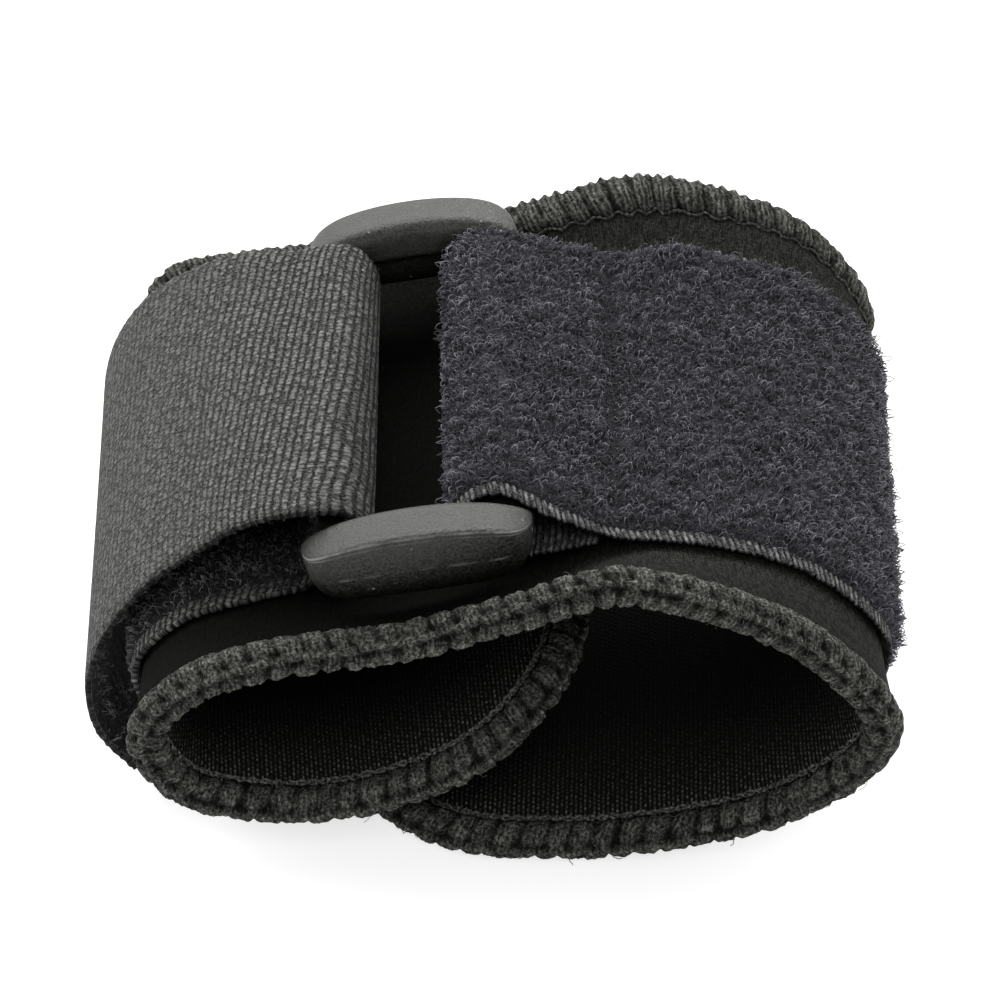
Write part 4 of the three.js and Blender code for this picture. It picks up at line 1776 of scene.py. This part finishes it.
        # Painted shade: fibres over the low places of the ground are darker, and those near a seam.
        lit = pile.lit[0] + pile.lit[1] * lumps.at(root, aside + half)[:, 0]
        tone = rng.beta(*pile.tones, count) * lit * (1 - pile.seam_shade * sewn(root)[:, 0])
        slope = rng.normal(0, pile.tilt, (count, 1)) * t
        height = ground(along, across) + proud * (1 - pile.ends_down * t**2) + slope
        centres = raised(along, across, height)
        chord = unit(centres[:, 1:2] - centres[:, -2:-1])
        away = unit(raised(root, aside, np.ones_like(root)) - raised(root, aside, np.zeros_like(root)))
        guides = np.broadcast_to(away + 0.2 * np.cross(chord, away), centres.shape)
        radius = rng.uniform(*pile.thickness, (count, 1))
        draft.add_tubes(centres, guides, radius, 3, tone)
        return settle(draft.build(name, [pile.fibre, pile.fleece]), "pile")

    def declare(self, base: bpy.types.Object, piles: list[bpy.types.Object]) -> None:
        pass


@dataclass
class RingStrap(Strap):
    """The looped-pile strap that is sewn round the ring's right bar."""

    name: str = "sewn_strap"
    node: str = "ring_strap"
    width: float = 50.0
    thickness: float = 1.8
    fold_share: float = 0.74
    fold_front: float = 2.3
    fold_rear: float = 2.0
    front_spread: float = 0.14
    rear_spread: float = 0.11
    rear_lift: float = 2.0
    lift_share: float = 0.47
    drift: tuple[float, float] = (2.2, 0.9)
    bed: tuple[float, float] = (0.28, 0.44)
    seam: float = 0.472
    seam_layer: float = 0.4
    tail: tuple[float, float] = (0.508, 0.493)
    around: tuple[tuple[float, float, float], ...] = (
        (5, 5, 1.6),
        (-1.2, -0.9, 3.6),
        (-4.9, -4.3, 0.7),
        (-3.2, -2.8, -2.8),
        (1, 1, -3.7),
    )
    seam_x: float = 12.6
    seam_before: float = 0.6
    rib: float = 0.68
    bead: float = 1.6
    fray: float = 0.24

    def rows(self, across: Array) -> Array:
        """Lies on the band, climbs over its own tail, goes round the bar and ends beneath.

        Args:
            across: Places across the strap.

        Returns:
            Rows of points along the path.
        """
        drifted = across + np.linspace(*self.drift, 13)[:, None]
        return np.concatenate(
            [
                self.on_band(np.linspace(*self.bed, 13), drifted),
                self.on_band(np.array([self.seam]), across, self.seam_layer),
                self.fold(self.around, 1, across),
                self.on_band(np.array(self.tail), across),
            ]
        )

    def build(self) -> list[bpy.types.Object]:
        """Builds the tape and its pile.

        Returns:
            The tape, then the pile's parts.
        """
        weave = (self.rib, self.bead)
        tape = RibbedTape("pile_ground", (0.006, 0.006, 0.0062), (0.31, 0.31, 0.306), *weave)
        # A darker copy of the tape for its edges: painted shade.
        rim = RibbedTape("pile_ground_shaded_rim", (0.004, 0.004, 0.0042), (0.14, 0.14, 0.138), *weave)
        draft = self.tape(-0.2, -0.6, 0.035, 17)
        base = settle(draft.build(self.name, [tape.material(), rim.material()]), "pile", self.node)
        fibre = PileFibre("pile_fibre", (0.004, 0.0038, 0.0047), (0.245, 0.237, 0.276))
        fleece = FleeceGround("pile_fleece", (0.004, 0.0038, 0.0047), (0.085, 0.082, 0.097))
        looks = (fibre.material(), fleece.material())
        middle = self.sheet.points[:, self.columns // 2, 0]
        upper = np.linspace(0, 1, self.steps) < self.seam_before
        nearest = np.argmin(np.where(upper, np.abs(middle - self.seam_x), np.inf))
        seam = float(nearest) / (self.steps - 1)
        pile = Pile(Face.OVER, -0.2, 0.7, 4.8, (0.2, 0.85), (2.1, 0.4), *looks, (seam,))
        parts = [("flank", 0.0, 0.3), ("crown", 0.3, 0.58), ("fold", 0.58, 0.86)]
        piles = [
            self.pile(pile, (start, end), 20 + k, f"sewn_pile_{part}")
            for k, (part, start, end) in enumerate(parts)
        ]
        self.declare(base, piles)
        return [base, *piles]


# The pull strap's upper run: X, shift in Y and Z at its front edge, then at its rear edge.
PULL_ROOF = (
    (-22.6, 0, 34.7, -25, 0, 33.2),
    (-27.2, 1, 32.8, -31, 0.2, 32.2),
    (-31.8, 2, 29, -36, 0.4, 30),
    (-37.6, 2.7, 23.5, -41.2, 0.5, 26),
    (-41.8, 2.5, 17.4, -45, 0.6, 19.6),
    (-43.7, 1.4, 11.8, -46, 0.6, 13),
    (-42.8, 0.3, 6.9, -45.2, 0.5, 8),
    (-39.3, -0.3, 2.7, -42, 0.4, 4),
)


@dataclass
class PullStrap(Strap):
    """The strap that lies on the band, goes through the ring and folds back over itself."""

    name: str = "pull_strap_tape"
    node: str = "pull_strap"
    width: float = 49.0
    thickness: float = 1.6
    fold_share: float = 0.36
    fold_front: float = 1.6
    fold_rear: float = 2.1
    front_spread: float = 0.1
    rear_spread: float = 0.15
    rib_lean: float = 0.1
    unshaded_rim_until: float = 0.28
    flattened: float = 0.7
    flattened_from: tuple[float, float] = (0.5, 0.72)
    fold_shade_at: float = 34.0
    bed: tuple[float, float] = (0.755, 0.638)
    around: tuple[tuple[float, float, float], ...] = (
        (-0.8, -0.8, -3.4),
        (2.3, 2.9, -2.5),
        (3.1, 4.1, 0.65),
        (1, 1.6, 3.4),
    )

    def rib_clarity(self, share: Array) -> Array:
        """Shows the ribs clearly at the fold, and less where the strap is flattened."""
        return 1 - self.flattened * smoothstep(*self.flattened_from, share)

    def rows(self, across: Array) -> Array:
        """Lies on the band, goes under the bar and round it, and runs down over the left side.

        Args:
            across: Places across the strap.

        Returns:
            Rows of points along the path.
        """
        roof = np.array(PULL_ROOF)[:, :, None]
        rear = across / self.width + 0.5
        x, y, z = (roof[:, k] + (roof[:, k + 3] - roof[:, k]) * rear for k in range(3))
        upper = np.stack([x, across + y, z], axis=-1) - FOOT
        return np.concatenate(
            [
                self.on_band(np.linspace(*self.bed, 13), across),
                self.fold(self.around, -1, across),
                upper,
            ]
        )

    def build(self) -> list[bpy.types.Object]:
        """Builds the tape and the pile on its hidden face.

        Returns:
            The tape, then the pile's parts.
        """
        weave = (self.rib, self.bead)
        bent = {"fold_shade_at": self.fold_shade_at}
        tape = RibbedTape("ribbed_tape", (0.007, 0.0071, 0.0067), (0.235, 0.237, 0.228), *weave, **bent)
        # A darker copy of the tape for its edges: painted shade.
        rim = RibbedTape("ribbed_tape_shaded_rim", (0.005, 0.005, 0.0048), (0.08, 0.08, 0.078), *weave)
        draft = self.tape(0.78, -0.05, 0.05, 21)
        base = settle(draft.build(self.name, [tape.material(), rim.material()]), "webbing", self.node)
        fibre = PileFibre("dark_pile_fibre", (0.006, 0.006, 0.0062), (0.3, 0.3, 0.302))
        fleece = FleeceGround("dark_pile_fleece", (0.004, 0.004, 0.0042), (0.055, 0.055, 0.056))
        looks = (fibre.material(), fleece.material())
        fine = {"fringe": 9.0, "bend": (0.3, 0.6), "thickness": (0.035, 0.06)}
        inner = Pile(Face.UNDER, 0.0, 0.35, 5.0, (0.1, 0.45), (2.0, 2.0), *looks, **fine)
        outer = Pile(Face.UNDER, 0.0, 0.35, 1.6, (0.1, 0.45), (0.6, 0.6), *looks, **fine)
        piles = [
            self.pile(inner, (0.0, 0.34), 41, "pull_pile_inner"),
            self.pile(outer, (0.42, 1.0), 42, "pull_pile_outer"),
        ]
        self.declare(base, piles)
        return [base, *piles]


# The studio


@dataclass
class Softbox:
    """One large area light that looks at the wrap."""

    name: str
    place: tuple[float, float, float]
    size: tuple[float, float]
    power: float
    target: tuple[float, float, float] = (0.0, 0.0, 0.02)

    def build(self) -> bpy.types.Object:
        """Hangs the light and turns it to its target.

        Returns:
            The light.
        """
        lamp = bpy.data.lights.new(self.name, "AREA")
        lamp.shape = "RECTANGLE"
        lamp.size, lamp.size_y = self.size
        lamp.energy = self.power
        light = bpy.data.objects.new(self.name, lamp)
        light.location = self.place
        aim = Vector(self.target) - Vector(self.place)
        light.rotation_euler = aim.to_track_quat("-Z", "Y").to_euler()
        bpy.context.scene.collection.objects.link(light)
        return light


@dataclass
class Studio:
    """The white table, the soft lights and the camera."""

    elevation: float = 37.5
    turn: float = -1.15
    eye: tuple[float, float, float] = (8.504, -356.591, 292.474)
    lens: float = 154.8
    sensor: float = 36.0
    floor_half: float = 3.0
    floor_count: int = 25
    floor_drop: float = 0.02
    ambient: float = 0.3

    def floor(self) -> None:
        """Lays the table: one flat grid, a hair below the wrap's foot."""
        count = self.floor_count
        x, y = np.meshgrid(np.linspace(-1, 1, count), np.linspace(-1, 1, count))
        points = np.stack([x, y, np.zeros_like(x)], axis=-1) * self.floor_half / MM
        points[..., 2] = -self.floor_drop
        draft = MeshDraft()
        first = draft.add_points(points, points[..., :2])
        draft.add_faces(grid_faces(count, count) + first)
        draft.build("table", [PaleFloor().material()])

    def lights(self) -> None:
        """Hangs the softboxes and sets the white surroundings."""
        Softbox("back_box", (0.0, 1.0, 0.85), (1.6, 0.7), 26.0).build()
        Softbox("left_box", (-1.0, 0.4, 0.8), (0.8, 1.0), 15.0).build()
        Softbox("right_box", (1.0, 0.3, 0.75), (0.8, 1.0), 8.0).build()
        Softbox("front_box", (0.1, -0.9, 1.2), (1.2, 0.6), 5.5).build()
        world = bpy.data.worlds.new("white_room")
        world.use_nodes = True
        background = world.node_tree.nodes["Background"]
        background.inputs["Color"].default_value = (1.0, 1.0, 1.0, 1.0)
        background.inputs["Strength"].default_value = self.ambient
        bpy.context.scene.world = world

    def camera(self) -> None:
        """Sets the camera where the photograph was taken from."""
        down, turn = math.radians(self.elevation), math.radians(self.turn)
        level = math.cos(down)
        ahead = Vector((math.sin(turn) * level, math.cos(turn) * level, -math.sin(down)))
        right = Vector((math.cos(turn), -math.sin(turn), 0.0))
        up = right.cross(ahead)
        data = bpy.data.cameras.new("camera")
        data.sensor_width = self.sensor
        data.lens = self.lens
        data.clip_start = 0.01
        camera = bpy.data.objects.new("camera", data)
        turned = Matrix((right, up, -ahead)).transposed().to_4x4()
        camera.matrix_world = Matrix.Translation(Vector(self.eye) * MM) @ turned
        bpy.context.scene.collection.objects.link(camera)
        bpy.context.scene.camera = camera

    def build(self) -> None:
        """Builds the camera, the table and the lights."""
        self.camera()
        self.floor()
        self.lights()
        settings = bpy.context.scene.view_settings
        settings.view_transform = "Standard"
        settings.look = "None"


def main() -> None:
    """Builds the wrap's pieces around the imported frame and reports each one."""
    logging.basicConfig(level=logging.INFO, format="%(name)s %(message)s")
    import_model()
    Studio().build()
    strip = CoiledStrip()
    ring = RingBuckle()
    band = NeopreneBand(strip).build()
    edges = [OverlockEdge(strip, side).build() for side in Side]
    ring.build()
    RingStrap(strip, ring).build()
    PullStrap(strip, ring).build()
    length = strip.sheet.length
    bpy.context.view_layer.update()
    LOG.info("strip %.1f mm long", length)


if __name__ == "__main__":
    main()
